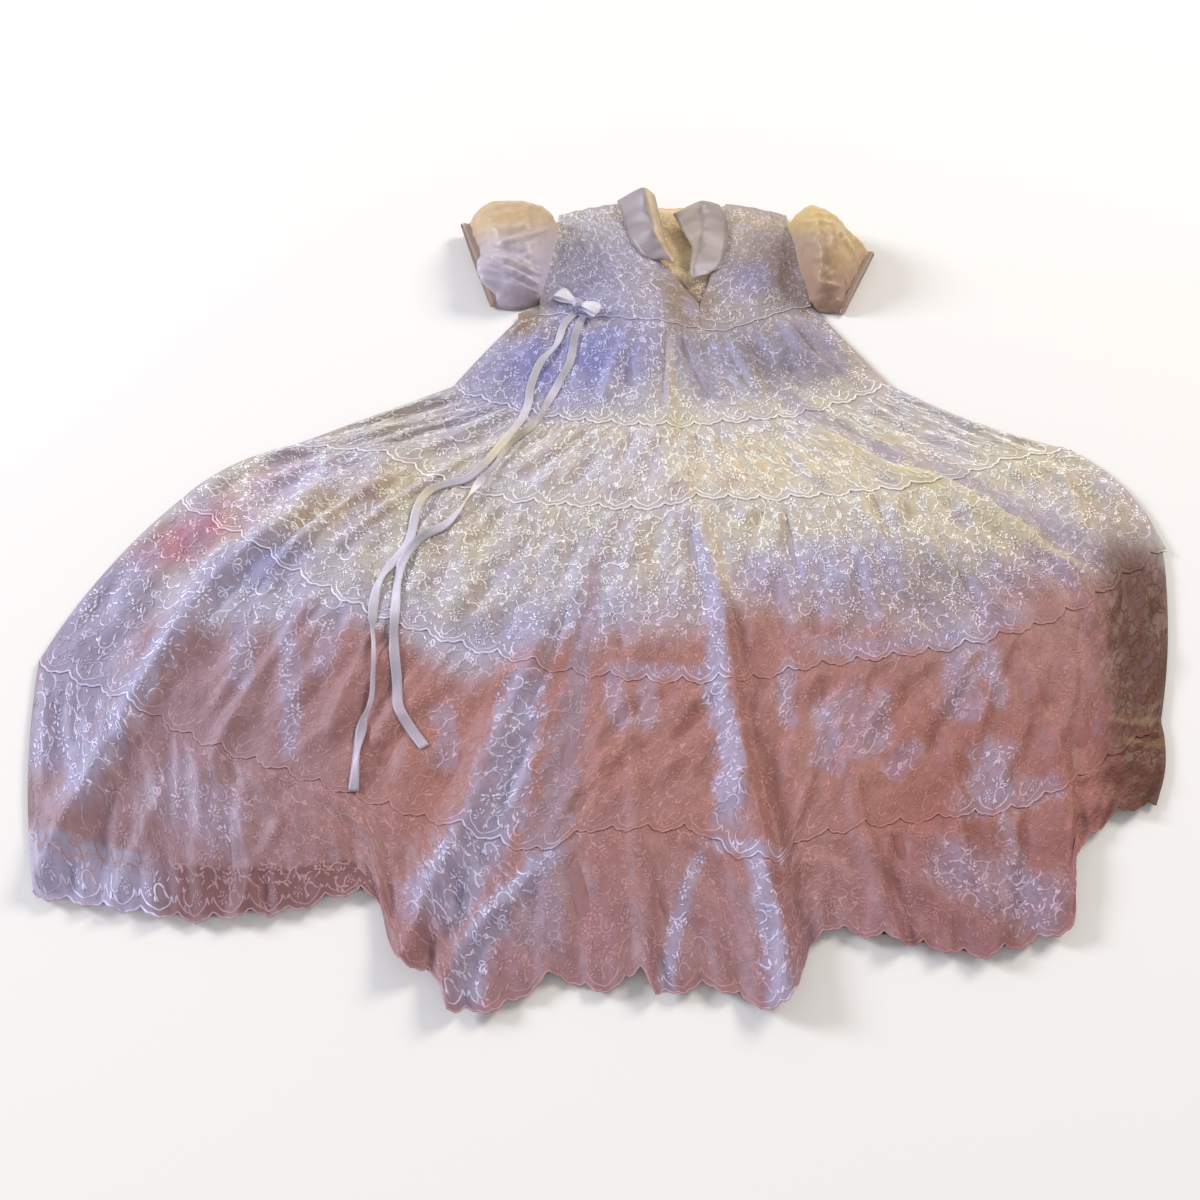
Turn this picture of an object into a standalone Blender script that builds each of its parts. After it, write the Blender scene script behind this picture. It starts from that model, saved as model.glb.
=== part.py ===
"""A long christening gown of embroidered organza, laid flat on its back.

All table values are millimetres in the gown's own layout: x runs across the gown to the right,
y runs up towards the neck with its zero at the middle of the waist, z is up from the floor.
At the end the whole gown is moved so that the floor centre of its bounding box is the origin.
"""
import math

import bpy
import bmesh
from mathutils import Vector
from mathutils.bvhtree import BVHTree

for old in list(bpy.data.objects):
    bpy.data.objects.remove(old, do_unlink=True)

MM = 0.001
WALL = 1.5              # thickness of one layer of cloth
GAP = 0.35              # clearance between two layers
STEP = WALL + GAP       # height of one layer with its clearance
RIBBON_WALL = 1.0
RIBBON_WIDTH = 7.0
TIER_COLUMNS = 50       # strips across a front tier
BACK_COLUMNS = 22       # strips across a back tier
TUCK = 8.0              # how far a tier goes up under the edge above it
RAMP = 22.0             # where a tier starts to climb over the tier below it
HEM_LINING_INSET = 25.0  # the lining stops this far above the hem

# Lower edges of the bodice and of the five skirt tiers, from the left side to the right side.
# columns: x, y
WAIST_EDGE = (
    (-122, 8), (-106, 13), (-59, 11), (-21, 9), (8, 1), (36, -6), (62, 4), (91, 18), (111.2, 23),
)
TIER_1_EDGE = (
    (-168, -64), (-142, -78), (-95, -94), (-41, -101), (2, -103), (76, -95), (113, -85), (162, -62),
)
TIER_2_EDGE = (
    (-280, -122), (-211, -129), (-165, -157), (-117, -173), (-42, -179), (-10, -179),
    (2, -169), (69, -171), (135, -164), (188, -156), (233, -136), (283, -126),
)
TIER_3_EDGE = (
    (-352, -172), (-307, -200), (-266, -229), (-209, -264), (-147, -289), (-89, -307),
    (-26, -315), (27, -316), (86, -303), (161, -293), (224, -276), (265, -257), (327, -212),
)
TIER_4_EDGE = (
    (-415, -302), (-351, -330), (-298, -358), (-231, -382), (-155, -408), (-90, -428),
    (-68, -413), (2, -413), (20, -430), (46, -435), (57, -419), (106, -410), (184, -402),
    (217, -388), (289, -345),
)
HEM_EDGE = (
    (-376, -452), (-282, -466), (-230, -461), (-196, -449), (-181, -453), (-170, -486),
    (-142, -499), (-138, -515), (-110, -513), (-81, -494), (-60, -504), (-41, -499),
    (-34, -486), (-29, -507), (2, -500), (38, -516), (46, -503), (66, -469), (100, -476),
    (151, -486), (206, -470), (212, -430), (245, -403), (272, -397),
)
EDGES = (WAIST_EDGE, TIER_1_EDGE, TIER_2_EDGE, TIER_3_EDGE, TIER_4_EDGE, HEM_EDGE)

# How far each tier's side edges bow outwards between its two ends.
# columns: tier, left_bulge, right_bulge
SIDE_BULGES = (
    (1, 1, 0),
    (2, 0, -6),
    (3, 8, 12),
    (4, 7, 4),
    (5, 5, 4),
)

# Largest folds of the skirt.
# columns: start_x, start_y, end_x, end_y, bow, start_half_width, end_half_width, height
FOLDS = (
    (-232, -150, -366, -430, 22, 15, 26, 12),
    (-75, -222, -166, -500, 6, 17, 26, 12),
    (-88, -420, -134, -520, 4, 14, 20, 9),
    (22, -205, 14, -520, 6, 17, 34, 13),
    (70, -60, 275, -222, -6, 15, 16, 5),
    (72, -178, 92, -300, 0, 15, 18, 5),
    (176, -196, 230, -330, 6, 16, 24, 6),
    (150, -330, 152, -490, 0, 18, 24, 7),
    (-150, -180, -262, -420, 8, 18, 28, 7),
    (-112, -90, -200, -200, 4, 15, 20, 6),
)

# Half widths and heights along a sleeve, from the armhole to the cuff.
# columns: part, spread, height, lean
SLEEVE_SECTIONS = (
    (0.00, 0.95, 13, 0),
    (0.10, 1.00, 31, 2),
    (0.30, 1.03, 41, 4),
    (0.52, 1.04, 43, 6),
    (0.74, 1.02, 41, 5),
    (0.90, 0.98, 33, 3),
    (1.00, 0.94, 15, 0),
)
SLEEVE_POINTS = 18

# columns: side, armhole_top_x, armhole_top_y, armhole_low_x, armhole_low_y,
#          cuff_top_x, cuff_top_y, cuff_low_x, cuff_low_y
SLEEVES = (
    ("left", -93.1, 126, -105.5, 27, -169, 118, -138, 22),
    ("right", 103.6, 126, 112.5, 24, 168, 89, 133, 16),
)

# Half fronts of the bodice from the waist to the shoulder.
# columns: y, side_x, front_x   (the first row's y follows the waist's edge)
LEFT_FRONT = (
    (0, -105.6, 21.6),
    (26, -104.6, 21.0),
    (48, -101.9, 8),
    (78, -98.2, -10),
    (105, -94.9, -24),
    (148, -92, -41),
)
RIGHT_FRONT = (
    (0, 111.4, 22.4),
    (26, 111.4, 23.0),
    (48, 109.5, 30),
    (78, 106.9, 38),
    (105, 104.6, 45),
    (148, 102, 51),
)
BODICE_BACK = (
    (30, -104.0, 110.8),
    (48, -101.6, 109.2),
    (78, -98.0, 106.6),
    (105, -94.7, 104.4),
    (149, -91, 101),
)
COLLAR_SEAM_Z = 7.15     # middle of the band where it is sewn to the neck's edge
SHOULDER_DROP = 15.0    # how far a shoulder falls from the neck to the armhole

# Collar bands. The seam runs along the neck's edge, the fold rises inside it, the free edge turns down.
# columns: part, seam_x, seam_y, fold_x, fold_y, fold_z, free_x, free_y, free_z
COLLAR_LEFT = (
    (0.00, -42, 147, -21, 138, 30, -11, 135, 22),
    (0.25, -37, 124, -16, 114, 25, -6, 112, 14),
    (0.50, -32, 98, -12, 95, 19, -3, 92, 11),
    (0.75, -22, 79, -5, 80, 14, 2, 78, 9),
    (1.00, -3, 68, 3, 68, 11, 7, 66, 9),
)
COLLAR_RIGHT = (
    (0.00, 46, 142, 28, 131, 23, 6, 128, 10),
    (0.25, 51, 122, 28, 113, 21, 12, 108, 9),
    (0.50, 50, 96, 25, 92, 18, 18, 84, 9),
    (0.75, 44, 72, 20, 69, 14, 14, 63, 8),
    (1.00, 31, 50, 17, 50, 11, 12, 46, 8),
)

# Middle lines of the two ribbon tails, from the knot down.
# columns: x, y
TAIL_LEFT = (
    (-77, 12), (-86, -2), (-91, -23), (-103, -44), (-109, -66), (-111, -86), (-119, -108),
    (-138, -140), (-151, -156), (-174, -165), (-184, -184), (-188, -213), (-202, -238),
    (-206, -262), (-201, -296), (-199, -328), (-203, -352), (-203, -392),
)
TAIL_RIGHT = (
    (-70, 10), (-76, -10), (-80, -41), (-87, -60), (-95, -80), (-104, -103), (-121, -124),
    (-133, -146), (-148, -172), (-160, -192), (-180, -210), (-191, -232), (-191, -262),
    (-189, -290), (-184, -322), (-180, -340), (-163, -364),
)


def lerp(a, b, t):
    return a + (b - a) * t


def smooth(t):
    t = min(1.0, max(0.0, t))
    return t * t * (3.0 - 2.0 * t)


def table_y(table, x):
    """Height of an edge table at x, joined by straight lines."""
    if x <= table[0][0]:
        return table[0][1]
    for (x0, y0), (x1, y1) in zip(table, table[1:]):
        if x <= x1:
            return lerp(y0, y1, (x - x0) / (x1 - x0))
    return table[-1][1]


def edge_point(index, u):
    """Point of one tier's edge at the share u of its way from left to right."""
    table = EDGES[index]
    x = lerp(table[0][0], table[-1][0], u)
    return Vector((x, table_y(table, x), 0.0))


def tier_point(tier, u, t):
    """Plan point of a tier: t is 0 on the edge above it and 1 on its own edge."""
    upper = edge_point(tier - 1, u)
    lower = edge_point(tier, u)
    point = upper.lerp(lower, t)
    bulges = SIDE_BULGES[tier - 1]
    run = (lower - upper).normalized()
    bow = 4.0 * t * (1.0 - t)
    if bow > 0.0:
        left = Vector((run.y, -run.x, 0.0))
        share_left = max(0.0, 1.0 - u / 0.2) ** 2
        share_right = max(0.0, 1.0 - (1.0 - u) / 0.2) ** 2
        point = point + left * (bulges[1] * bow * share_left)
        point = point - left * (bulges[2] * bow * share_right)
    return point


def fold_height(x, y):
    """Height of the skirt's folds above the flat cloth at a plan point."""
    total = 0.0
    for x0, y0, x1, y1, bow, half0, half1, height in FOLDS:
        run_x = x1 - x0
        run_y = y1 - y0
        length = math.hypot(run_x, run_y)
        along = ((x - x0) * run_x + (y - y0) * run_y) / (length * length)
        if along < 0.0 or along > 1.05:
            continue
        across = ((x - x0) * -run_y + (y - y0) * run_x) / length
        across = across + bow * 4.0 * along * (1.0 - along)
        half = lerp(half0, half1, along)
        if abs(across) >= half:
            continue
        ridge = 0.5 + 0.5 * math.cos(math.pi * across / half)
        total = max(total, height * ridge * smooth(along / 0.3))
    return total


def add_object(name, mesh_data, colour, roughness):
    """One closed body from a bmesh, with its own material."""
    bmesh.ops.recalc_face_normals(mesh_data, faces=mesh_data.faces)
    mesh = bpy.data.meshes.new(name)
    mesh_data.to_mesh(mesh)
    mesh_data.free()
    item = bpy.data.objects.new(name, mesh)
    bpy.context.scene.collection.objects.link(item)
    material = bpy.data.materials.new(name + "_cloth")
    material.use_nodes = True
    shader = material.node_tree.nodes["Principled BSDF"]
    shader.inputs["Base Color"].default_value = (colour[0], colour[1], colour[2], 1.0)
    shader.inputs["Roughness"].default_value = roughness
    shader.inputs["Metallic"].default_value = 0.0
    mesh.materials.append(material)
    return item


def wall_object(name, low, high, colour, roughness):
    """A wall between two grids of points with the same rows and columns."""
    body = bmesh.new()
    rows = len(low)
    columns = len(low[0])
    under = [[body.verts.new(point * MM) for point in row] for row in low]
    over = [[body.verts.new(point * MM) for point in row] for row in high]
    for r in range(rows - 1):
        for c in range(columns - 1):
            body.faces.new((under[r][c], under[r + 1][c], under[r + 1][c + 1], under[r][c + 1]))
            body.faces.new((over[r][c], over[r][c + 1], over[r + 1][c + 1], over[r + 1][c]))
    rim = [(0, c) for c in range(columns - 1)]
    rim += [(r, columns - 1) for r in range(rows - 1)]
    rim += [(rows - 1, c) for c in range(columns - 1, 0, -1)]
    rim += [(r, 0) for r in range(rows - 1, 0, -1)]
    for (r0, c0), (r1, c1) in zip(rim, rim[1:] + rim[:1]):
        body.faces.new((under[r0][c0], under[r1][c1], over[r1][c1], over[r0][c0]))
    bmesh.ops.triangulate(body, faces=body.faces)
    return add_object(name, body, colour, roughness)


def raised(grid, height):
    return [[point + Vector((0.0, 0.0, height)) for point in row] for row in grid]


def part_of(tier, u, distance):
    """Share of the way down a tier that lies the given distance above its own edge."""
    length = (edge_point(tier, u) - edge_point(tier - 1, u)).length
    return 1.0 - distance / length


def make_front_tier(tier, colour):
    """Front of one tier: tucked under the edge above, and climbing over the tier below."""
    grid = []
    last = tier == 5
    shares = (0.0, 0.42) if tier < 3 else (0.0, 0.3, 0.6)
    stops = [("above", TUCK)] + [("share", share) for share in shares]
    stops += [("over", RAMP), ("over", TUCK), ("over", 0.0)]
    for kind, value in stops:
        row = []
        for c in range(TIER_COLUMNS + 1):
            u = c / TIER_COLUMNS
            lift = 0.0
            if kind == "above":
                if tier == 1:
                    point = edge_point(0, u) + Vector((0.0, value, 0.0))
                else:
                    point = tier_point(tier - 1, u, part_of(tier - 1, u, value))
            elif kind == "share":
                point = tier_point(tier, u, value)
            else:
                point = tier_point(tier, u, part_of(tier, u, value))
                if value < RAMP and not last:
                    lift = STEP
            point.z = 2.0 * STEP + fold_height(point.x, point.y) + lift
            row.append(point)
        grid.append(row)
    return wall_object("front_tier_%d" % tier, grid, raised(grid, WALL), colour, 0.55)


def make_back_tier(tier, colour):
    """Back of one tier, flat on the floor, edge to edge with the next one."""
    columns = TIER_COLUMNS if tier == 5 else BACK_COLUMNS
    grid = []
    for end in (0, 1):
        row = []
        for c in range(columns + 1):
            u = c / columns
            inset = lerp(0.006, 0.994, u)
            length = (edge_point(tier, inset) - edge_point(tier - 1, inset)).length
            share = (0.3 / length) if end == 0 else 1.0 - (3.0 / length if tier == 5 else 0.3 / length)
            row.append(edge_point(tier - 1, inset).lerp(edge_point(tier, inset), share))
        grid.append(row)
    return wall_object("back_tier_%d" % tier, grid, raised(grid, WALL), colour, 0.6)


def make_lining(colour):
    """Plain lining under the front tiers, from the waist nearly to the hem."""
    grid = []
    stops = [(tier, 0.0) for tier in range(1, 6)] + [(5, 1.0)]
    for tier, share in stops:
        row = []
        for c in range(BACK_COLUMNS + 1):
            u = lerp(0.012, 0.988, c / BACK_COLUMNS)
            if share == 1.0:
                point = tier_point(tier, u, part_of(tier, u, HEM_LINING_INSET))
            else:
                point = tier_point(tier, u, share)
            point.z = STEP
            row.append(point)
        grid.append(row)
    return wall_object("skirt_lining", grid, raised(grid, WALL), colour, 0.6)


def make_half_front(name, table, colour):
    """One half of the bodice's front, a little crowned, its lower edge lying over tier 1."""
    columns = 7
    grid = []
    stops = []
    for index, (y, side_x, front_x) in enumerate(table):
        if index == 0:
            stops.append((0.0, side_x, front_x, True))
            stops.append((TUCK, side_x, front_x, True))
        else:
            stops.append((y, side_x, front_x, False))
    for y, side_x, front_x, on_waist in stops:
        row = []
        for c in range(columns + 1):
            t = c / columns
            x = lerp(side_x, front_x, t)
            if on_waist:
                level = table_y(WAIST_EDGE, x) + y
                base = 3.0 * STEP
            else:
                level = max(y, table_y(WAIST_EDGE, x) + 14.0)
                if y == table[-1][0]:
                    level = y - SHOULDER_DROP * (1.0 - t)
                base = STEP + 3.3 * math.sin(math.pi * (0.12 + 0.68 * t))
                base = max(base, lerp(3.0 * STEP, base, smooth((level - 24.0) / 24.0)))
            row.append(Vector((x, level, base)))
        grid.append(row)
    return wall_object(name, grid, raised(grid, WALL), colour, 0.55)


def make_bodice_back(colour):
    """Back of the bodice, flat on the floor, its lower edge meeting the back of tier 1."""
    columns = 10
    grid = []
    rows = [(None, -105.3, 111.2)] + [(y, left, right) for y, left, right in BODICE_BACK]
    for y, left, right in rows:
        row = []
        for c in range(columns + 1):
            x = lerp(left, right, c / columns)
            level = table_y(WAIST_EDGE, x) + 0.3 if y is None else y
            if y == BODICE_BACK[-1][0]:
                away = abs(x - 5.0)
                level = y - SHOULDER_DROP * max(0.0, away - 46.0) / 50.0 - 4.0 * max(0.0, 1.0 - away / 46.0)
            row.append(Vector((x, level, 0.0)))
        grid.append(row)
    return wall_object("bodice_back", grid, raised(grid, WALL), colour, 0.55)


def ring_points(section, corners, wall, inside):
    """One flattened ring of a sleeve: flat under, domed above."""
    part, spread, height, lean = section
    top = Vector((lerp(corners[0], corners[4], part), lerp(corners[1], corners[5], part), 0.0))
    low = Vector((lerp(corners[2], corners[6], part), lerp(corners[3], corners[7], part), 0.0))
    middle = (top + low) * 0.5
    half = (top - low) * (0.5 * spread)
    reach = half.length
    ratio = (reach - wall * 1.3) / reach if inside else 1.0
    points = []
    for k in range(SLEEVE_POINTS):
        angle = 2.0 * math.pi * k / SLEEVE_POINTS
        across = math.cos(angle)
        rise = math.sin(angle)
        flat = middle + half * (across * ratio)
        if rise >= 0.0:
            z = 2.5 + (height - 2.5) * rise ** 0.8
            z = z - wall if inside else z
            flat = flat + half.normalized() * (lean * rise)
        else:
            z = wall * (1.0 if inside else 0.0)
            z = max(z, z + 2.5 * (1.0 + rise * 2.2))
        if inside:
            z = max(z, wall)
        points.append(Vector((flat.x, flat.y, z)))
    return points


def tube_object(name, outer, inner, colour, roughness):
    """An open tube with a wall: rings outside, rings inside, joined at both ends."""
    body = bmesh.new()
    count = len(outer[0])
    out_rings = [[body.verts.new(p * MM) for p in ring] for ring in outer]
    in_rings = [[body.verts.new(p * MM) for p in ring] for ring in inner]
    for rings, order in ((out_rings, 1), (in_rings, -1)):
        for a, b in zip(rings, rings[1:]):
            for k in range(count):
                quad = (a[k], a[(k + 1) % count], b[(k + 1) % count], b[k])
                body.faces.new(quad[::order])
    for a, b in ((out_rings[0], in_rings[0]), (in_rings[-1], out_rings[-1])):
        for k in range(count):
            body.faces.new((a[k], b[k], b[(k + 1) % count], a[(k + 1) % count]))
    bmesh.ops.triangulate(body, faces=body.faces)
    return add_object(name, body, colour, roughness)


def make_sleeve(row, colour, cuff_colour):
    """A puffed sleeve and its narrow bound cuff, both open tubes."""
    side = row[0]
    corners = row[1:]
    outer = [ring_points(section, corners, WALL, False) for section in SLEEVE_SECTIONS]
    inner = [ring_points(section, corners, WALL, True) for section in SLEEVE_SECTIONS]
    tube_object("sleeve_" + side, outer, inner, colour, 0.4)
    length = abs(corners[4] - corners[0])
    outer = []
    inner = []
    for distance in (0.4, 7.0):
        section = (1.0 + distance / length, 0.84, 12.0, 0)
        outer.append(ring_points(section, corners, WALL + 0.5, False))
        inner.append(ring_points(section, corners, WALL + 0.5, True))
    tube_object("cuff_" + side, outer, inner, cuff_colour, 0.5)


def make_collar(name, table, colour):
    """A wide smooth band that stands up from the neck's edge and turns down inside it."""
    steps = 5
    inner = []
    outer = []
    for index, (part, sx, sy, fx, fy, fz, ex, ey, ez) in enumerate(table):
        seam = Vector((sx, sy, COLLAR_SEAM_Z))
        fold = Vector((fx, fy, fz))
        free = Vector((ex, ey, ez))
        line = []
        for k in range(steps + 1):
            t = k / steps
            a = seam.lerp(fold, t)
            b = fold.lerp(free, t)
            mid = a.lerp(b, t)
            pull = 2.0 * t * (1.0 - t)
            line.append(mid.lerp(fold, pull))
        low = []
        high = []
        for k, point in enumerate(line):
            before = line[max(0, k - 1)]
            after = line[min(steps, k + 1)]
            run = (after - before).normalized()
            side = Vector((-run.z, 0.0, run.x))
            if side.z < 0.0 or (abs(side.z) < 0.02 and side.x * (fx - sx) < 0.0):
                side = -side
            side.normalize()
            low.append(point - side * (WALL * 0.5))
            high.append(point + side * (WALL * 0.5))
        inner.append(low)
        outer.append(high)
    return wall_object(name, inner, outer, colour, 0.3)


def tree_of(items):
    """Search tree over the triangles of several objects."""
    points = []
    faces = []
    for item in items:
        start = len(points)
        points += [item.matrix_world @ vertex.co for vertex in item.data.vertices]
        faces += [tuple(start + index for index in face.vertices) for face in item.data.polygons]
    return BVHTree.FromPolygons(points, faces)


def top_at(tree, x, y, reach):
    """Highest cloth, in millimetres, within a small reach of a plan point."""
    best = 0.0
    shares = (-1.0, -0.5, 0.0, 0.5, 1.0)
    for dx, dy in ((reach * a, reach * b) for a in shares for b in shares):
        if dx * dx + dy * dy <= 1.3 * reach * reach:
            start = Vector(((x + dx) * MM, (y + dy) * MM, 0.2))
            hit = tree.ray_cast(start, Vector((0.0, 0.0, -1.0)))
            if hit[0] is not None:
                best = max(best, hit[0].z / MM)
    return best


def even_points(table, spacing):
    """Points at even distances along a smooth line through a table of x and y."""
    dense = []
    knots = [Vector((x, y, 0.0)) for x, y in table]
    for i in range(len(knots) - 1):
        p0 = knots[max(0, i - 1)]
        p1 = knots[i]
        p2 = knots[i + 1]
        p3 = knots[min(len(knots) - 1, i + 2)]
        for s in range(12):
            t = s / 12.0
            a = p1 * 2.0
            b = (p2 - p0) * t
            c = (p0 * 2.0 - p1 * 5.0 + p2 * 4.0 - p3) * (t * t)
            d = (p3 - p0 + (p1 - p2) * 3.0) * (t * t * t)
            dense.append((a + b + c + d) * 0.5)
    dense.append(knots[-1])
    points = [dense[0]]
    travelled = 0.0
    for a, b in zip(dense, dense[1:]):
        travelled += (b - a).length
        if travelled >= spacing:
            points.append(b)
            travelled = 0.0
    return points


def make_tail(name, table, tree, colour):
    """A narrow satin ribbon laid on the cloth under it."""
    points = even_points(table, 9.0)
    low = []
    for i, point in enumerate(points):
        before = points[max(0, i - 1)]
        after = points[min(len(points) - 1, i + 1)]
        run = (after - before).normalized()
        side = Vector((-run.y, run.x, 0.0))
        level = top_at(tree, point.x, point.y, 6.5) + 0.45
        row = []
        for share in (-0.5, 0.5):
            spot = point + side * (RIBBON_WIDTH * share)
            spot.z = level
            row.append(spot)
        low.append(row)
    return wall_object(name, low, raised(low, RIBBON_WALL), colour, 0.3)


def make_loop(name, start, direction, length, level, colour):
    """A flattened closed loop of ribbon, open at both of its long sides."""
    count = 14
    run = Vector((math.cos(direction), math.sin(direction), 0.0))
    side = Vector((-run.y, run.x, 0.0))
    outer = []
    inner = []
    for share in (-0.5, 0.5):
        ring_out = []
        ring_in = []
        for k in range(count):
            angle = 2.0 * math.pi * k / count
            along = 0.5 - 0.5 * math.cos(angle)
            tall = 2.6 + 3.0 * along
            width = lerp(RIBBON_WIDTH * 0.8, RIBBON_WIDTH * 1.7, along)
            rise = 0.5 * tall * math.sin(angle)
            base = start + run * (length * along) + side * (width * share)
            ring_out.append(base + Vector((0.0, 0.0, level + tall * 0.5 + rise)))
            shrink = lerp(0.12, 0.92, along)
            inside = start + run * (length * shrink) + side * (width * share)
            lift = max(0.0, 0.5 * tall - RIBBON_WALL) * math.sin(angle)
            ring_in.append(inside + Vector((0.0, 0.0, level + tall * 0.5 + lift)))
        outer.append(ring_out)
        inner.append(ring_in)
    return tube_object(name, outer, inner, colour, 0.3)


def make_knot(name, centre, level, colour):
    """The bow's small rounded knot."""
    body = bmesh.new()
    bmesh.ops.create_uvsphere(body, u_segments=12, v_segments=7, radius=1.0)
    for vertex in body.verts:
        vertex.co.x = (centre[0] + 4.2 * vertex.co.x) * MM
        vertex.co.y = (centre[1] + 4.6 * vertex.co.y) * MM
        vertex.co.z = (level + 3.2 + 3.2 * vertex.co.z) * MM
    bmesh.ops.triangulate(body, faces=body.faces)
    return add_object(name, body, colour, 0.3)


IVORY = (0.62, 0.56, 0.60)
ROSE = (0.50, 0.38, 0.40)
LILAC = (0.46, 0.43, 0.62)
CHAMPAGNE = (0.58, 0.47, 0.36)
SATIN = (0.56, 0.53, 0.60)
BINDING = (0.36, 0.29, 0.26)

TIER_COLOURS = (LILAC, IVORY, IVORY, ROSE, ROSE)
fronts = []
for number in range(1, 6):
    make_back_tier(number, TIER_COLOURS[number - 1])
    fronts.append(make_front_tier(number, TIER_COLOURS[number - 1]))
make_lining(ROSE)
make_bodice_back(CHAMPAGNE)
front_left = make_half_front("bodice_front_left", LEFT_FRONT, LILAC)
front_right = make_half_front("bodice_front_right", RIGHT_FRONT, IVORY)
for sleeve_row in SLEEVES:
    make_sleeve(sleeve_row, CHAMPAGNE, BINDING)
make_collar("collar_left", COLLAR_LEFT, SATIN)
make_collar("collar_right", COLLAR_RIGHT, SATIN)

cloth = fronts + [front_left, front_right]
tail_left = make_tail("ribbon_tail_left", TAIL_LEFT, tree_of(cloth), SATIN)
tail_right = make_tail("ribbon_tail_right", TAIL_RIGHT, tree_of(cloth + [tail_left]), SATIN)
BOW_X = -75.0
BOW_Y = 19.0
bow_level = top_at(tree_of(cloth), BOW_X, BOW_Y, 6.0) + 0.4
make_knot("bow_knot", (BOW_X, BOW_Y), bow_level, SATIN)
make_loop("bow_loop_left", Vector((BOW_X - 4.6, BOW_Y + 3.4, 0.0)), math.radians(138.0), 19.0, bow_level, SATIN)
make_loop("bow_loop_right", Vector((BOW_X + 4.8, BOW_Y - 1.6, 0.0)), math.radians(-18.0), 18.0, bow_level, SATIN)

corners = [item.matrix_world @ vertex.co for item in bpy.data.objects for vertex in item.data.vertices]
shift = Vector((
    -0.5 * (min(p.x for p in corners) + max(p.x for p in corners)),
    -0.5 * (min(p.y for p in corners) + max(p.y for p in corners)),
    -min(p.z for p in corners),
))
for item in bpy.data.objects:
    for vertex in item.data.vertices:
        vertex.co += shift
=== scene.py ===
import math

import bpy
import numpy as np
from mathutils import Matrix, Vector
from mathutils.bvhtree import BVHTree


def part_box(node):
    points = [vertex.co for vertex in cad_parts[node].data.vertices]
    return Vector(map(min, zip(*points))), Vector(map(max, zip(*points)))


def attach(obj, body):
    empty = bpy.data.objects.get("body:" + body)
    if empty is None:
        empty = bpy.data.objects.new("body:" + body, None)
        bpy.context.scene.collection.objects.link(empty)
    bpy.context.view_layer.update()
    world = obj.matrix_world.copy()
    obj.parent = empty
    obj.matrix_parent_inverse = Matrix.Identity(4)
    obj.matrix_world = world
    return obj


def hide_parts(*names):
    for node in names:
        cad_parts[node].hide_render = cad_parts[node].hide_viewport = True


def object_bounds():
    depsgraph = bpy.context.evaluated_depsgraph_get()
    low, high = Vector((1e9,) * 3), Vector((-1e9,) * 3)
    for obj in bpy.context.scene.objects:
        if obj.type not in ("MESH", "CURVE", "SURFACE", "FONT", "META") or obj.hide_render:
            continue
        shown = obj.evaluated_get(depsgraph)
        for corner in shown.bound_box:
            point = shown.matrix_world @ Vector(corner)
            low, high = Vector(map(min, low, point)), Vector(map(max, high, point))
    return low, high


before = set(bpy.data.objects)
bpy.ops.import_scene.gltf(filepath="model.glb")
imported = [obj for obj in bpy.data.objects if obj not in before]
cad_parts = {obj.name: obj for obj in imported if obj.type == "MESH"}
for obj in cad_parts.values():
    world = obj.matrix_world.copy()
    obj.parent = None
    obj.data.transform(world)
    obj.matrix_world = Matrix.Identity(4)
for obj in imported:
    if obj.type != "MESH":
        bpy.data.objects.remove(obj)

cad_low, cad_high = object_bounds()
MM = 0.001


def rgb(*values):
    return np.array(values)


# The gown's own layout, in millimetres: x runs to the right, y runs up to the neck from the middle
# of the waist, z is up from the floor. The bow's knot fixes where the layout sits in the row frame.
BOW_X = -75.0
BOW_Y = 19.0
knot_low, knot_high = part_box("bow_knot")
SHIFT = np.array([
    (knot_low.x + knot_high.x) * 500.0 - BOW_X,
    (knot_low.y + knot_high.y) * 500.0 - BOW_Y,
    0.0,
])

# Heights of the cloth's layers above the floor.
BACK_Z = 0.9
LINING_Z = 2.7
TIER_Z = 4.7
EDGE_LIFT = 0.36         # a tier's edge lies this much above the tier under it
TUCK = 8.0

# Lower edges of the bodice and of the five skirt tiers, from the left side to the right side.
# columns: x, y
WAIST_EDGE = (
    (-122, 8), (-106, 13), (-59, 11), (-21, 9), (8, 1), (36, -6), (62, 4), (91, 18), (111.2, 23),
)
TIER_1_EDGE = (
    (-168, -64), (-142, -78), (-95, -94), (-41, -101), (2, -103), (76, -95), (113, -85), (162, -62),
)
TIER_2_EDGE = (
    (-280, -122), (-211, -129), (-165, -157), (-117, -173), (-42, -179), (-10, -179),
    (2, -169), (69, -171), (135, -164), (188, -156), (233, -136), (283, -126),
)
TIER_3_EDGE = (
    (-352, -172), (-307, -200), (-266, -229), (-209, -264), (-147, -289), (-89, -307),
    (-26, -315), (27, -316), (86, -303), (161, -293), (224, -276), (265, -257), (327, -212),
)
TIER_4_EDGE = (
    (-415, -302), (-351, -330), (-298, -358), (-231, -382), (-155, -408), (-90, -428),
    (-68, -413), (2, -413), (20, -430), (46, -435), (57, -419), (106, -410), (184, -402),
    (217, -388), (289, -345),
)
HEM_EDGE = (
    (-376, -452), (-282, -466), (-230, -461), (-196, -449), (-181, -453), (-170, -486),
    (-142, -499), (-138, -515), (-110, -513), (-81, -494), (-60, -504), (-41, -499),
    (-34, -486), (-29, -507), (2, -500), (38, -516), (46, -503), (66, -469), (100, -476),
    (151, -486), (206, -470), (212, -430), (245, -403), (272, -397),
)
EDGES = (WAIST_EDGE, TIER_1_EDGE, TIER_2_EDGE, TIER_3_EDGE, TIER_4_EDGE, HEM_EDGE)

# columns: left_bulge, right_bulge of tiers 1 to 5
SIDE_BULGES = ((1, 0), (0, -6), (8, 12), (7, 4), (5, 4))

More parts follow.
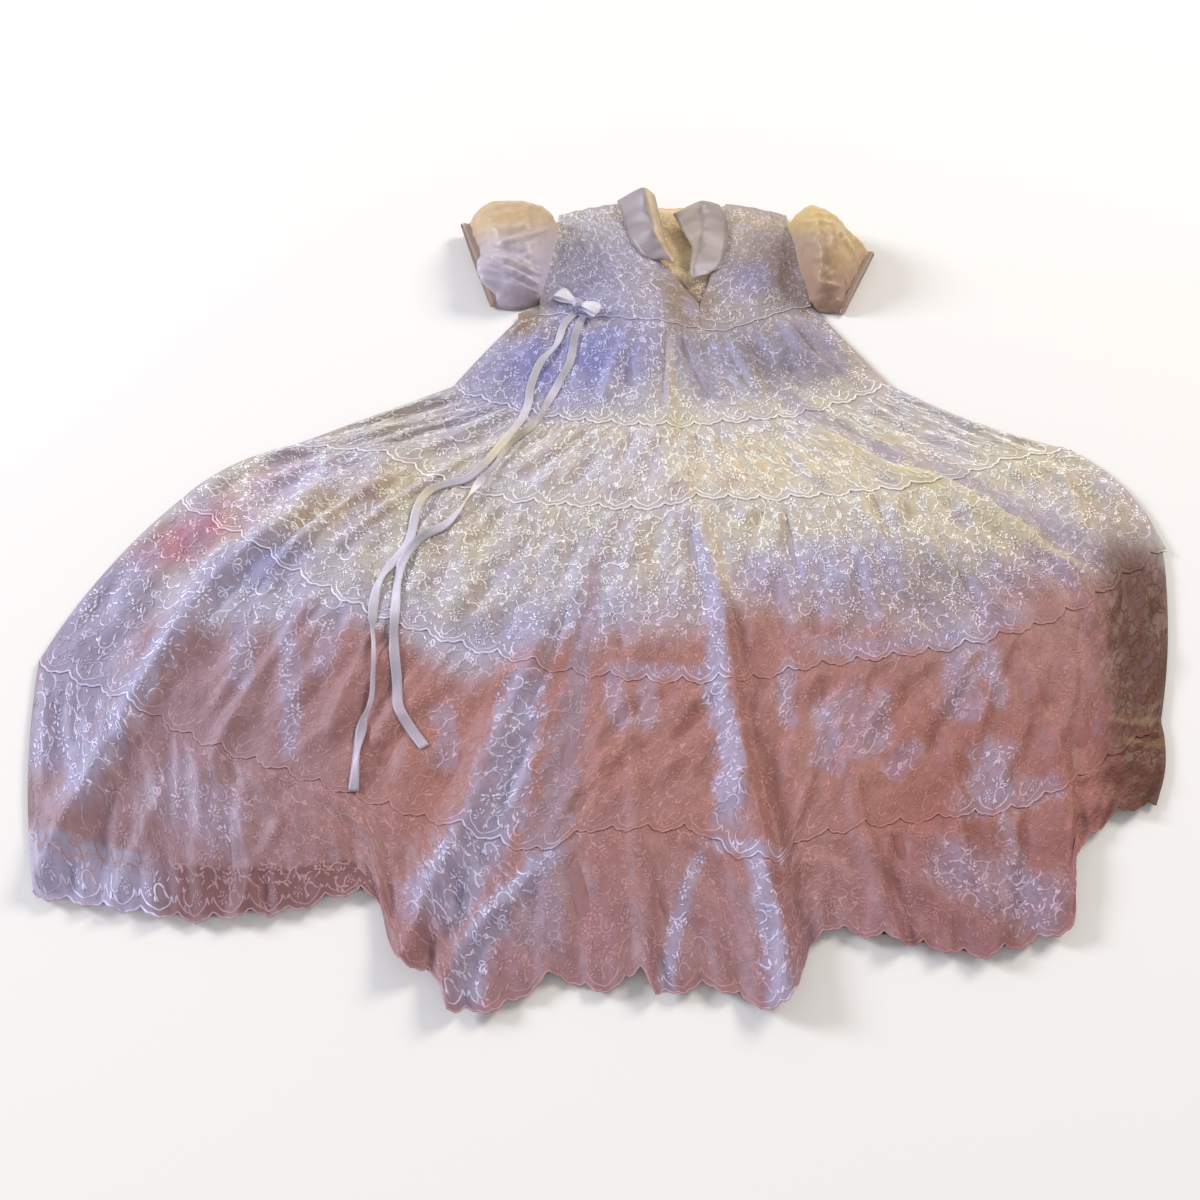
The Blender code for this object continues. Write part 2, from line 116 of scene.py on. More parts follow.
# columns: tier, strip height at the middle, scallop spacing, scallop depth, seed
TIERS = (
    (1, 100.0, 21.0, 5.4, 11),
    (2, 74.0, 23.0, 5.8, 23),
    (3, 140.0, 25.0, 7.0, 35),
    (4, 108.0, 23.0, 6.4, 47),
    (5, 92.0, 25.0, 6.2, 59),
)

# Main folds, each along its crest. A negative height is a trough.
# columns: left_start, left_end, right_start, right_end, height_start, height_end, dies_out, crest points
FOLDS = (
    (16, 30, 10, 17, 6, 12, False,
     ((-236, -158), (-287, -209), (-318, -256), (-342, -322), (-354, -372), (-371, -440))),
    (12, 28, 7, 13, 4, 11, False,
     ((-72, -215), (-84, -262), (-101, -306), (-118, -352), (-129, -398), (-150, -450), (-166, -500))),
    (10, 22, 6, 12, 3, 8, False, ((-88, -425), (-100, -448), (-121, -470), (-136, -492), (-140, -520))),
    (9, 30, 5, 11, 5, 13, False, ((20, -205), (22, -250), (26, -309), (29, -368), (35, -410), (47, -520))),
    (14, 22, 4, 7, 5, 7, True, ((84, -94), (146, -142), (187, -159), (237, -201), (282, -230))),
    (3, 4, 3, 4, -2, -3, True, ((71, -172), (74, -214), (80, -262))),
    (3, 5, 3, 5, -2, -2, True, ((172, -190), (186, -239), (198, -266))),
    (4, 6, 4, 5, -1.6, -2.6, True, ((-5, -4), (-7, -30), (-9, -64), (-10, -100))),
    (8, 14, 8, 14, 2, 5, False, ((146, -300), (154, -380), (150, -440), (152, -495))),
    (7, 15, 6, 12, 2, 5, False, ((200, -270), (216, -330), (219, -388), (204, -476))),
    (6, 12, 5, 9, 2, 5, True, ((-176, -133), (-214, -160), (-252, -196), (-296, -260))),
    (5, 10, 5, 8, 2, 4, True, ((-138, -122), (-170, -150), (-214, -188), (-246, -230))),
    (7, 14, 6, 10, 2, 6, True, ((-232, -236), (-262, -290), (-283, -346), (-296, -400))),
    (6, 12, 5, 10, 2, 5, True, ((-196, -262), (-214, -316), (-226, -372))),
    (6, 12, 6, 10, 2, 4, False, ((-58, -238), (-50, -290), (-40, -350), (-34, -420), (-30, -512))),
    (9, 20, 8, 18, -1, -3, False, ((-66, -250), (-66, -330), (-70, -420), (-74, -500))),
    (5, 9, 5, 9, 1, 3, True, ((-36, -6), (-46, -40), (-58, -92))),
    (5, 9, 5, 9, 1, 3, True, ((30, -14), (44, -50), (58, -92))),
    (6, 11, 5, 8, 1, 4, True, ((112, -120), (128, -170), (144, -240), (150, -290))),
    (6, 12, 5, 9, 2, 5, True, ((222, -160), (246, -206), (262, -250), (268, -310))),
    (6, 14, 6, 11, 2, 5, False, ((86, -322), (92, -380), (96, -430), (104, -480))),
    (5, 12, 5, 10, 1, 4, False, ((-236, -392), (-250, -430), (-258, -470))),
    (5, 10, 5, 9, 1, 4, False, ((-312, -380), (-322, -420), (-330, -466))),
    (3, 5, 3, 5, -2, -2, True, ((3, -4), (14, -44), (27, -87))),
    (5, 9, 14, 22, 2, 4, True, ((41, -4), (52, -40), (66, -82))),
    (10, 14, 4, 7, 4, 6, True, ((86, 8), (104, -30), (130, -64))),
)

# Half fronts of the bodice and its back. columns: y, side_x, front_x
LEFT_FRONT = (
    (0, -105.6, 23.2), (26, -104.6, 22.6), (48, -101.9, 8), (78, -98.2, -10), (105, -94.9, -24),
    (148, -92, -41),
)
RIGHT_FRONT = (
    (0, 111.4, 22.0), (26, 111.4, 22.6), (48, 109.5, 30), (78, 106.9, 38), (105, 104.6, 45), (148, 102, 51),
)
BODICE_BACK = (
    (0, -105.3, 111.2), (30, -104.0, 110.8), (48, -101.6, 109.2), (78, -98.0, 106.6), (105, -94.7, 104.4),
    (149, -91, 101),
)
SHOULDER_DROP = 15.0

# columns: side, armhole_top_x, armhole_top_y, armhole_low_x, armhole_low_y,
#          cuff_top_x, cuff_top_y, cuff_low_x, cuff_low_y
SLEEVES = (
    ("left", -93.1, 126, -105.5, 27, -169, 118, -138, 22),
    ("right", 103.6, 126, 112.5, 24, 168, 89, 133, 16),
)
# Creases of the sleeves. A crease's points are x and its level, which is y plus 1.2 times its height.
# columns: side, half width, height, points
CREASES = (
    ("left", 2.4, 2.3, ((-154, 90), (-140, 88), (-124, 80), (-110, 69), (-97, 60))),
    ("left", 2.0, 2.0, ((-150, 82), (-134, 76), (-118, 65), (-107, 55), (-99, 51))),
    ("left", 1.8, 1.6, ((-146, 74), (-133, 66), (-121, 56), (-111, 47), (-102, 42))),
    ("left", 1.6, 1.3, ((-128, 90), (-116, 80), (-106, 72), (-97, 68))),
    ("left", 2.2, 1.2, ((-140, 60), (-124, 52), (-110, 40))),
    ("left", 2.6, 1.5, ((-142, 103), (-124, 108), (-104, 118), (-95, 124))),
    ("left", 1.8, 1.6, ((-112, 152), (-103, 143), (-96, 130))),
    ("left", 4.0, 1.4, ((-162, 112), (-142, 120), (-120, 124), (-101, 130))),
    ("left", 4.4, 1.2, ((-158, 132), (-140, 140), (-118, 140))),
    ("left", 3.2, -1.4, ((-146, 96), (-128, 94), (-112, 88))),
    ("left", 2.6, -1.2, ((-138, 70), (-122, 60), (-108, 46))),
    ("right", 2.4, 2.0, ((96, 125), (104, 128), (113, 129), (129, 127), (140, 112), (148, 94), (155, 84))),
    ("right", 1.8, 1.4, ((128, 124), (137, 112), (144, 98), (151, 88))),
    ("right", 1.8, 1.2, ((142, 122), (152, 108), (162, 94))),
    ("right", 1.5, 1.0, ((108, 134), (120, 138), (134, 133))),
    ("right", 1.6, 0.9, ((106, 118), (118, 117), (130, 108), (138, 96))),
    ("right", 2.0, 1.6, ((112, 62), (122, 55), (138, 50))),
    ("right", 1.6, 1.1, ((124, 30), (135, 37))),
    ("right", 5.0, 1.0, ((104, 104), (120, 98), (136, 86), (148, 78))),
    ("right", 5.0, -1.2, ((104, 82), (124, 74), (142, 66))),
)

# columns: part, seam_x, seam_y, fold_x, fold_y, fold_z, free_x, free_y, free_z
COLLAR_LEFT = (
    (0.00, -42, 149, -21, 140, 30, -11, 137, 22),
    (0.25, -37, 124, -16, 114, 25, -6, 112, 14),
    (0.50, -32, 98, -12, 95, 19, -3, 92, 11),
    (0.75, -22, 79, -5, 80, 14, 2, 78, 9),
    (1.00, -3, 68, 3, 68, 10, 5, 66, 9),
)
COLLAR_RIGHT = (
    (0.00, 45, 144, 28, 131, 23, 5, 128, 10),
    (0.25, 51, 122, 28, 113, 21, 12, 108, 9),
    (0.50, 50, 96, 25, 92, 18, 20, 86, 10),
    (0.75, 44, 72, 20, 69, 14, 17, 66, 9),
    (1.00, 31, 50, 17, 50, 10, 15.5, 48, 8),
)

# columns: x, y
TAIL_LEFT = (
    (-77, 12), (-86, -2), (-91, -23), (-103, -44), (-109, -66), (-111, -86), (-119, -108),
    (-138, -140), (-151, -156), (-174, -165), (-184, -184), (-188, -213), (-202, -238),
    (-206, -262), (-201, -296), (-199, -328), (-203, -352), (-203, -392),
)
TAIL_RIGHT = (
    (-70, 10), (-76, -10), (-80, -41), (-87, -60), (-95, -80), (-104, -103), (-121, -124),
    (-133, -146), (-148, -172), (-160, -192), (-180, -210), (-191, -232), (-191, -262),
    (-189, -290), (-184, -322), (-180, -340), (-163, -364),
)
RIBBON_WIDTH = 7.0

# Tones of the cloth. IVORY is its lit ground; the rest are colours of painted light and shade:
# ROSE, MAUVE, TAUPE, UMBER, DUSK and BROWN are painted shade, PINK a painted rose tint of the light,
# LILAC and BLUE painted lavender light, CREAM and GOLD painted warm light, TAN a warm painted half-shade,
# and THREAD_LIGHT is the painted glint of lit threads.
IVORY = rgb(0.56, 0.515, 0.50)
LILAC = rgb(0.275, 0.275, 0.59)
BLUE = rgb(0.44, 0.41, 0.61)
DUSK = rgb(0.41, 0.35, 0.44)
ROSE = rgb(0.415, 0.193, 0.175)
MAUVE = rgb(0.37, 0.26, 0.33)
PINK = rgb(0.49, 0.20, 0.27)
TAUPE = rgb(0.33, 0.26, 0.26)
BROWN = rgb(0.135, 0.054, 0.033)
UMBER = rgb(0.40, 0.285, 0.215)
TAN = rgb(0.52, 0.41, 0.30)
CREAM = rgb(0.70, 0.60, 0.40)
GOLD = rgb(0.60, 0.46, 0.25)
THREAD_LIGHT = rgb(0.96, 0.94, 1.0)

# Soft patches of painted light and shade, where the cloth takes another tone.
# columns: tone, strength, x, y, reach_x, reach_y, turn in degrees
LIGHT_PATCHES = (
    (LILAC * 0.9, 1.0, -82, -40, 88, 50, 20), (LILAC, 0.60, -66, 50, 44, 62, 0),
    (TAUPE * 0.95, 1.0, 84, 72, 60, 72, 0), (DUSK * 0.61, 1.0, 70, -34, 74, 36, 0),
    (DUSK, 0.7, -20, 78, 34, 60, 20), (UMBER * 0.8, 1.0, 12, 30, 27, 42, 0),
    (CREAM * 0.9, 0.35, 52, 122, 14, 40, 14), (LILAC, 0.4, 62, 50, 26, 22, 40),
    (CREAM, 0.55, 60, -92, 66, 11, 8), (CREAM * 1.08, 0.85, 92, -138, 112, 28, 6),
    (BLUE * 1.2, 0.35, -60, -146, 56, 24, 0), (BLUE * 1.5, 0.85, -262, -158, 46, 20, 28),
    (TAN * 1.15, 0.55, 78, 126, 30, 15, -6), (TAN * 1.15, 0.5, -40, 136, 13, 15, 0),
    (CREAM, 0.40, -180, -150, 60, 22, 22), (TAN, 0.80, -226, -176, 46, 26, 30),
    (PINK, 1.0, -338, -205, 56, 20, 38), (PINK, 0.3, -292, -150, 36, 11, 30),
    (BLUE * 1.35, 0.55, -284, -172, 30, 14, 30), (MAUVE * 1.25, 0.6, -366, -246, 24, 13, 40),
    (LILAC, 0.80, -290, -236, 46, 24, 25), (CREAM * 0.98, 0.70, 262, -150, 44, 26, -30),
    (CREAM * 1.15, 0.85, 170, -152, 64, 24, -22), (CREAM, 0.75, 222, -200, 34, 20, -30),
    (TAN * 1.1, 0.8, 296, -180, 30, 20, -30), (TAN * 0.9, 0.5, -163, -209, 26, 16, 30),
    (TAN * 0.9, 0.45, -40, -222, 18, 22, 0), (DUSK * 0.78, 0.75, -112, -280, 60, 20, 6),
    (DUSK * rgb(0.72, 0.66, 0.60), 0.95, 130, -244, 100, 30, 4), (TAUPE * 0.92, 0.85, 256, -228, 48, 28, 0),
    (TAN * 1.2, 0.6, 134, -40, 46, 13, -60), (CREAM, 0.45, 14, -112, 60, 14, 0),
    (CREAM, 0.6, 150, -186, 56, 18, -24), (CREAM, 0.45, 60, -196, 70, 12, 0),
    (UMBER * 0.85, 0.95, -118, 6, 21, 19, 0), (TAUPE, 0.8, -62, 2, 10, 8, 0),
    (UMBER * 0.85, 0.9, 122, 8, 17, 17, 0), (TAUPE * rgb(1.1, 1.0, 0.9), 0.85, 96, 66, 13, 44, 0),
    (BLUE * 1.1, 0.45, -66, -240, 60, 26, 0), (BLUE * 1.15, 0.5, 84, -236, 60, 22, 0),
)
# Streaks of painted light and shade along the folds and seams: lavender and cream painted light, darker
# painted shade and thin gold painted highlights, and patches of lavender painted light in the painted rose
# shade.
# columns: tone, strength, half_start, half_end, path points
LIGHT_STREAKS = (
    (MAUVE * 1.06, 0.90, 4, 22, ((-64, -240), (-73, -330), (-84, -400), (-94, -500))),
    (DUSK * 0.85, 0.80, 5, 12, ((4, -2), (16, -44), (28, -84))),
    (TAN * 1.1, 0.60, 5, 5, ((-3, -2), (-3, -50), (0, -100), (4, -120))),
    (DUSK * 0.95, 0.62, 7, 13,
     ((48, -50), (86, -80), (120, -109), (152, -131), (195, -149), (246, -190), (300, -224))),
    (CREAM * 1.1, 0.50, 3, 5, ((58, -76), (82, -98), (143, -146), (184, -164), (234, -206), (284, -240))),
    (BLUE, 0.80, 13, 15, ((-392, -436), (-356, -446), (-322, -454), (-292, -458))),
    (CREAM, 0.50, 2, 3, ((87, 4), (107, -32), (131, -78))),
    (DUSK * 0.85, 0.80, 13, 20, ((90, 12), (112, -28), (130, -58))),
    (BLUE, 0.90, 14, 24, ((-98, -286), (-110, -360), (-118, -402), (-134, -435), (-158, -478))),
    (BLUE, 0.85, 7, 13, ((-76, -420), (-105, -452), (-124, -482), (-131, -520))),
    (BLUE, 0.74, 6, 10, ((-6, -160), (13, -228), (20, -273), (14, -319), (22, -370), (12, -430))),
    (BLUE, 0.65, 4, 6, ((4, -420), (-12, -463), (-24, -510))),
    (BLUE, 0.70, 6, 9, ((30, -420), (36, -474), (39, -520))),
    (BLUE, 0.95, 10, 15, ((-270, -186), (-317, -258), (-336, -292), (-350, -341), (-370, -412))),
    (BLUE * 0.85, 0.85, 48, 30, ((-398, -200), (-386, -300), (-388, -390))),
    (BLUE, 0.55, 12, 8, ((-292, -226), (-288, -280), (-280, -330))),
    (BLUE, 0.50, 11, 7, ((-256, -280), (-250, -330), (-243, -378))),
    (BLUE, 0.45, 12, 8, ((-228, -252), (-236, -318))),
    (BLUE, 0.34, 9, 6, ((-28, -304), (-28, -356))),
    (BLUE, 0.40, 6, 7, ((66, -296), (58, -330), (62, -352))),
    (BLUE, 0.40, 8, 10, ((78, -330), (82, -356), (76, -380))),
    (BLUE, 0.40, 8, 8, ((122, -318), (116, -340), (110, -366))),
    (BLUE, 0.40, 7, 8, ((138, -356), (126, -372), (112, -380))),
    (BLUE, 0.46, 11, 17, ((176, -268), (172, -310), (164, -350))),
    (BLUE, 0.48, 11, 16, ((188, -352), (176, -384), (160, -396))),
    (BLUE, 0.46, 5, 8, ((176, -396), (180, -430), (184, -462))),
    (BLUE, 0.40, 8, 10, ((-160, -330), (-150, -352), (-152, -380))),
    (BLUE, 0.38, 8, 9, ((-44, -300), (-48, -330), (-40, -352))),
    (BLUE, 0.55, 4, 8, ((-252, -236), (-262, -262), (-258, -300))),
    (BLUE, 0.35, 22, 20, ((88, -320), (108, -372))),
    (BLUE, 0.45, 8, 7, ((190, -276), (192, -340))),
    (BLUE, 0.40, 12, 10, ((174, -358), (182, -400))),
    (BLUE, 0.50, 17, 24, ((124, -426), (160, -446), (204, -466))),
    (BLUE * 0.95, 0.40, 10, 9, ((56, -286), (107, -294), (157, -286), (202, -273), (234, -263))),
    (BLUE * 0.90, 0.34, 7, 7, ((-54, -306), (-14, -311), (14, -311), (36, -306))),
    (BLUE * 0.95, 0.44, 9, 11, ((142, -402), (166, -400), (190, -394), (220, -386))),
    (BLUE * 0.95, 0.60, 5, 6, ((0, -422), (28, -428), (54, -432))),
    (BLUE, 0.35, 24, 18, ((-330, -376), (-262, -420))),
    (BROWN, 0.95, 26, 46, ((312, -176), (292, -300), (266, -450))),
    (ROSE, 0.60, 8, 14, ((30, -250), (36, -330), (50, -400), (62, -466))),
    (GOLD * 0.6, 0.55, 2, 3, ((252, -344), (270, -346), (292, -344))),
    (GOLD * 0.6, 0.50, 2, 4, ((258, -357), (278, -360), (298, -357))),
    (TAN * 1.2, 0.55, 3, 7, ((2, -112), (8, -160), (22, -214), (30, -262))),
    (MAUVE * 1.1, 0.65, 4, 8, ((-58, -216), (-62, -250), (-66, -292))),
)


# ---------------------------------------------------------------- small tools

TURN = 6.28              # a full turn, for random angles


def smoothstep(t):
    t = np.clip(t, 0.0, 1.0)
    return t * t * (3.0 - 2.0 * t)


def rise(value, start, width):
    """0 before start and 1 past start plus width. A negative width runs towards lower values."""
    return smoothstep((value - start) / width)


def bell(value, middle, reach, power=2):
    return np.exp(-(np.abs(value - middle) / reach) ** power)


def mix(a, b, share):
    return a + (b - a) * share[..., None]


def unit(vectors):
    return vectors / (np.linalg.norm(vectors, axis=-1, keepdims=True) + 1e-12)


def run_lengths(points):
    """The length of a line of points up to each of them."""
    steps = np.linalg.norm(np.diff(points, axis=-2), axis=-1)
    return np.concatenate([np.zeros_like(steps[..., :1]), np.cumsum(steps, axis=-1)], axis=-1)


def softened(values, sigma):
    """Values at even spacing, smoothed, with their ends kept."""
    reach = int(4 * sigma)
    kernel = bell(np.arange(-reach, reach + 1), 0.0, sigma * math.sqrt(2.0))
    padded = np.pad(values, reach, mode="reflect", reflect_type="odd")
    return np.convolve(padded, kernel / kernel.sum(), mode="valid")


EDGE_LINES = []
for table in EDGES:
    xs = np.arange(table[0][0], table[-1][0] + 1.0)
    ys = np.interp(xs, [p[0] for p in table], [p[1] for p in table])
    EDGE_LINES.append((xs, softened(ys, 2.0 if table is HEM_EDGE else 5.0)))


def edge_xy(index, u):
    """Plan points of an edge at shares u of the way across."""
    xs, ys = EDGE_LINES[index]
    x = xs[0] + (xs[-1] - xs[0]) * u
    return np.stack([x, np.interp(x, xs, ys)], axis=-1)


def tier_xy(tier, u, t, bottom=0.0):
    """Plan points of a tier. u and t are arrays of one shape; bottom lengthens the lowest part, in mm."""
    upper = edge_xy(tier - 1, u)
    run = edge_xy(tier, u) - upper
    length = np.linalg.norm(run, axis=-1)
    run = unit(run)
    left = np.stack([run[..., 1], -run[..., 0]], axis=-1)
    upward = unit(edge_xy(tier - 2, u) - upper) if tier > 1 else np.array([0.0, 1.0])
    left_bulge, right_bulge = SIDE_BULGES[tier - 1]
    bulge = left_bulge * np.clip(1.0 - u / 0.2, 0, 1) ** 2 - right_bulge * np.clip((u - 0.8) / 0.2, 0, 1) ** 2
    inside = np.clip(t, 0, 1)
    down = length * np.clip(t, 0, None) + bottom * rise(t, 0.86, 0.14)
    return (upper + run * down[..., None] + left * (4.0 * inside * (1.0 - inside) * bulge)[..., None]
            + upward * (length * np.clip(-t, 0, None))[..., None])


def curve_points(knots, count):
    """Even points along a smooth line through knots."""
    knots = np.array(knots, float)
    pad = np.vstack([knots[0], knots, knots[-1]])
    t = np.linspace(0, 1, 16, endpoint=False)[:, None]
    dense = []
    for a, b, c, d in zip(pad, pad[1:], pad[2:], pad[3:]):
        bend = (2 * a - 5 * b + 4 * c - d) * t ** 2 + (d - a + 3 * (b - c)) * t ** 3
        dense.append(b + 0.5 * ((c - a) * t + bend))
    dense = np.vstack(dense + [knots[-1:]])
    length = run_lengths(dense)
    at = np.linspace(0, length[-1], count)
    return np.stack([np.interp(at, length, axis) for axis in dense.T], axis=1)


def near_path(px, py, knots, pieces=18):
    """Distance of points from a path, the side they lie on and the share of its length they lie at."""
    path = curve_points(knots, pieces + 1)
    best = np.full(px.shape, 1e9)
    side = np.zeros_like(px)
    along = np.zeros_like(px)
    for k in range(pieces):
        dx, dy = path[k + 1] - path[k]
        rx = px - path[k][0]
        ry = py - path[k][1]
        f = np.clip((rx * dx + ry * dy) / (dx * dx + dy * dy), 0.0, 1.0)
        ex = rx - dx * f
        ey = ry - dy * f
        away = ex * ex + ey * ey
        closer = away < best
        best = np.where(closer, away, best)
        side = np.where(closer, dx * ey - dy * ex, side)
        along = np.where(closer, (k + f) / pieces, along)
    return np.sqrt(best), side, along


def box_near(x, y, knots, margin):
    low_x, low_y = np.min(knots, axis=0) - margin
    high_x, high_y = np.max(knots, axis=0) + margin
    return (x > low_x) & (x < high_x) & (y > low_y) & (y < high_y)


def fold_height(x, y):
    """Height of the main folds at plan points."""
    total = np.zeros_like(x)
    sunk = np.zeros_like(x)
    for left0, left1, right0, right1, high0, high1, dies_out, knots in FOLDS:
        near = box_near(x, y, knots, max(left0, left1, right0, right1) + 4.0)
        if not near.any():
            continue
        away, side, along = near_path(x[near], y[near], knots, 26)
        # the path runs down the skirt, so a negative side is its left as seen
        half = np.where(side < 0, left0 + (left1 - left0) * along, right0 + (right1 - right0) * along)
        value = np.clip(1.0 - (away / half) ** 1.45, 0, 1) ** 1.8 * (high0 + (high1 - high0) * along)
        value *= rise(along, 0, 0.22) * (rise(along, 1, -0.35) if dies_out else 1.0)
        if high1 >= 0:
            total[near] = np.maximum(total[near], value)
        else:
            sunk[near] = np.minimum(sunk[near], value)
    return total + sunk


def seam_wave(seam, x):
    """Low waves shared by the two cloths that meet at a seam."""
    rng = np.random.default_rng(200 + seam)
    return sum(0.30 * np.sin(x * rng.uniform(0.07, 0.24) + rng.uniform(0, TURN)) for _ in range(6))


def ripples(p, q, width, height, seed, amount=1.0):
    """Gathers under a seam and the puckers and soft waves of one tier, in its own strip coordinates."""
    rng = np.random.default_rng(seed)
    total = np.zeros_like(p)
    place = rng.uniform(2, 8)
    while place < width:
        spread = rng.uniform(1.8, 3.8) * (1.0 + 1.3 * q / height)
        size = rng.uniform(0.3, 1.25)
        reach = height * (rng.uniform(0.16, 0.5) if rng.random() < 0.65 else rng.uniform(0.6, 1.3))
        centre = place + rng.uniform(-8, 8) * (q / height) ** 1.2
        fade = rise(q, 3.0, 8.0) * (1.0 - rise(q, reach * 0.35, reach * 0.75))
        total += size * fade * bell(p, centre, spread)
        place += rng.uniform(6.0, 16.0)
    place = rng.uniform(10, 30)
    while place < width:
        half = rng.uniform(6, 14)
        size = rng.uniform(0.5, 1.9)
        fade = rise(q, rng.uniform(-0.1, 0.35) * height, 0.45 * height)
        centre = place + rng.uniform(-14, 14) * (q / height)
        total += size * fade * np.clip(1.0 - (np.abs(p - centre) / half) ** 1.5, 0, 1) ** 1.6
        place += rng.uniform(20, 44)
    for _ in range(22):
        length = rng.uniform(11, 42)
        tilt = rng.normal(0, 0.6)
        along = (p * math.cos(tilt) + 0.8 * q * math.sin(tilt)) * TURN / length
        total += 0.012 * length * np.sin(along + rng.uniform(0, TURN)) * rise(q, 3.0, 14.0)
    return total * amount


def scallop(p, spacing, depth, seed):
    """Depth of a scalloped edge below its line: a large lobe with two small ones in it."""
    phase = math.pi * (p + 1.8 * np.sin(p * 0.021 + seed)) / spacing
    large = np.abs(np.sin(phase)) ** 0.7
    return depth * (large * (0.74 + 0.26 * np.abs(np.sin(3.0 * phase))) - 0.35)


# ---------------------------------------------------------------- tones

def wandering(x, y, scale, seed):
    """Soft irregular field from -1 to 1."""
    rng = np.random.default_rng(seed)
    total = np.zeros_like(x)
    for _ in range(7):
        angle = rng.uniform(0, TURN)
        often = rng.uniform(0.5, 1.6) / scale * TURN
        total += np.sin((x * math.cos(angle) + y * math.sin(angle)) * often + rng.uniform(0, TURN))
    return total / 3.6


def shade_line(x, y):
    """How far up the skirt the painted rose shade reaches."""
    line = -262.0 + 8.0 * rise(x, -120, -120) + 40.0 * rise(x, 150, 110)
    line += 17.0 * bell(x, 58, 46, 4) - 24.0 * bell(x, -138, 46)
    return line + 7.0 * wandering(x, y * 0.5, 80.0, 3) + 5.0 * wandering(x, y * 0.3, 26.0, 8)


def shade_share(x, y):
    """How far the cloth has turned to its painted rose shade, from 0 above to 1 below."""
    return rise(y, shade_line(x, y) - 4.0, -34.0)


def streak_shares(x, y):
    """Each painted light and shade streak: its tone, the points near it and how strongly they take the tone.
    """
    for tone, strength, half0, half1, knots in LIGHT_STREAKS:
        near = box_near(x, y, knots, 1.6 * max(half0, half1))
        if near.any():
            away, _, along = near_path(x[near], y[near], knots, 10)
            half = half0 + (half1 - half0) * along
            rough = 0.26 * wandering(x[near], y[near], 11.0, 17) + 0.24 * wandering(x[near], y[near], 4.6, 18)
            away = (away + rough * np.minimum(half, 13.0)) / half
            ends = rise(along, 0, 0.22) * rise(along, 1, -0.12)
            yield tone, near, strength * ends * (1.0 - rise(away, 0.36, 0.82))


def light_share(x, y):
    """How strongly the threads take their painted glint: much over the lit cloth and along the lavender
    streaks, little in the painted shade.
    """
    share = 1.0 - 0.92 * shade_share(x, y)
    for tone, near, weight in streak_shares(x, y):
        target = 1.0 if tone[2] > 0.5 else 0.0 if tone is BROWN else 0.10
        share[near] += (target - share[near]) * weight
    # painted shade: the threads' glint is duller on the upper bodice, the right shoulder, under the neck and
    # on the right of tier 1
    dull = 0.34 * rise(y, 50, 70) + 0.55 * bell(x, 86, 46) * bell(y, 76, 52)
    dull += 0.8 * bell(x, 10, 16, 4) * bell(y, 32, 34, 4) + 0.35 * bell(x, 66, 64, 4) * bell(y, -36, 32, 4)
    return share * (1.0 - np.clip(dull, 0.0, 0.85))


def ground_tone(x, y):
    """Colour of the cloth's ground at plan points, with painted light and shade laid into it."""
    tone = IVORY
    for colour, strength, cx, cy, reach_x, reach_y, turn in LIGHT_PATCHES:
        c = math.cos(math.radians(turn))
        s = math.sin(math.radians(turn))
        dx = x - cx
        dy = y - cy
        away = ((dx * c + dy * s) / reach_x) ** 2 + ((dy * c - dx * s) / reach_y) ** 2
        tone = mix(tone, colour, strength * np.exp(-away ** 1.3))
    # Random blotches of painted lavender light, painted shade and painted cream light.
    broad = wandering(x, y, 75.0, 31) + 0.6 * wandering(x, y, 30.0, 32)
    blotch = wandering(x, y, 36.0, 33) - 0.3
    tone = mix(tone, BLUE * 1.2, 0.38 * np.clip(broad - 0.1, 0, 1))
    tone = mix(tone, rgb(0.40, 0.31, 0.33), 0.42 * np.clip(blotch, 0, 1) * rise(y, -100, -40))
    tone = mix(tone, CREAM * 1.05, 0.30 * np.clip(-broad - 0.1, 0, 1) * rise(y, -40, -50))
    # A band of lavender-mauve painted half-shade above the line of the painted rose shade, and the painted
    # rose shade below it.
    dusty = mix(BLUE, MAUVE * 1.15, rise(x, -60, 60))
    tone = mix(tone, dusty, 0.6 * rise(y, shade_line(x, y) + 26.0, -34.0))
    deep = mix(ROSE, MAUVE, 0.65 * rise(x, -140, -170))
    deep = mix(deep, MAUVE * rgb(1.0, 0.85, 0.85), 0.5 * rise(y, -395, -90))
    deep = mix(deep, MAUVE * 1.1, 0.12 * np.clip(wandering(x, y, 60.0, 9), 0, 1))
    tone = mix(tone, deep, shade_share(x, y))
    # Streaks of painted light and shade.
    for colour, near, weight in streak_shares(x, y):
        tone[near] = mix(tone[near], colour, weight)
    # Painted shade: darker to the lower right and near the hem, browner at the lower right, cooler and darker
    # at the lower left; and painted light across the middle of tier 2.
    dark = 0.10 * rise(y, -205, -60) * rise(x, 60, 110) + 0.06 * rise(y, -380, -60)
    tone = tone * (1.0 - dark)[..., None]
    tone = mix(tone, tone * rgb(0.98, 0.84, 0.80), rise(x, 60, 70) * rise(y, -300, -60))
    tone = mix(tone, tone * rgb(0.94, 0.95, 0.97), rise(x, -180, -60) * rise(y, -280, -60))
    bright = 1.0 + 0.08 * bell(y, -140, 46) * rise(np.abs(x), 200, -80)
    mottle = 1.0 + 0.05 * wandering(x, y, 24.0, 5) + 0.05 * wandering(x, y, 8.0, 6)
    return np.clip(tone * (bright * mottle)[..., None], 0.02, 0.95)


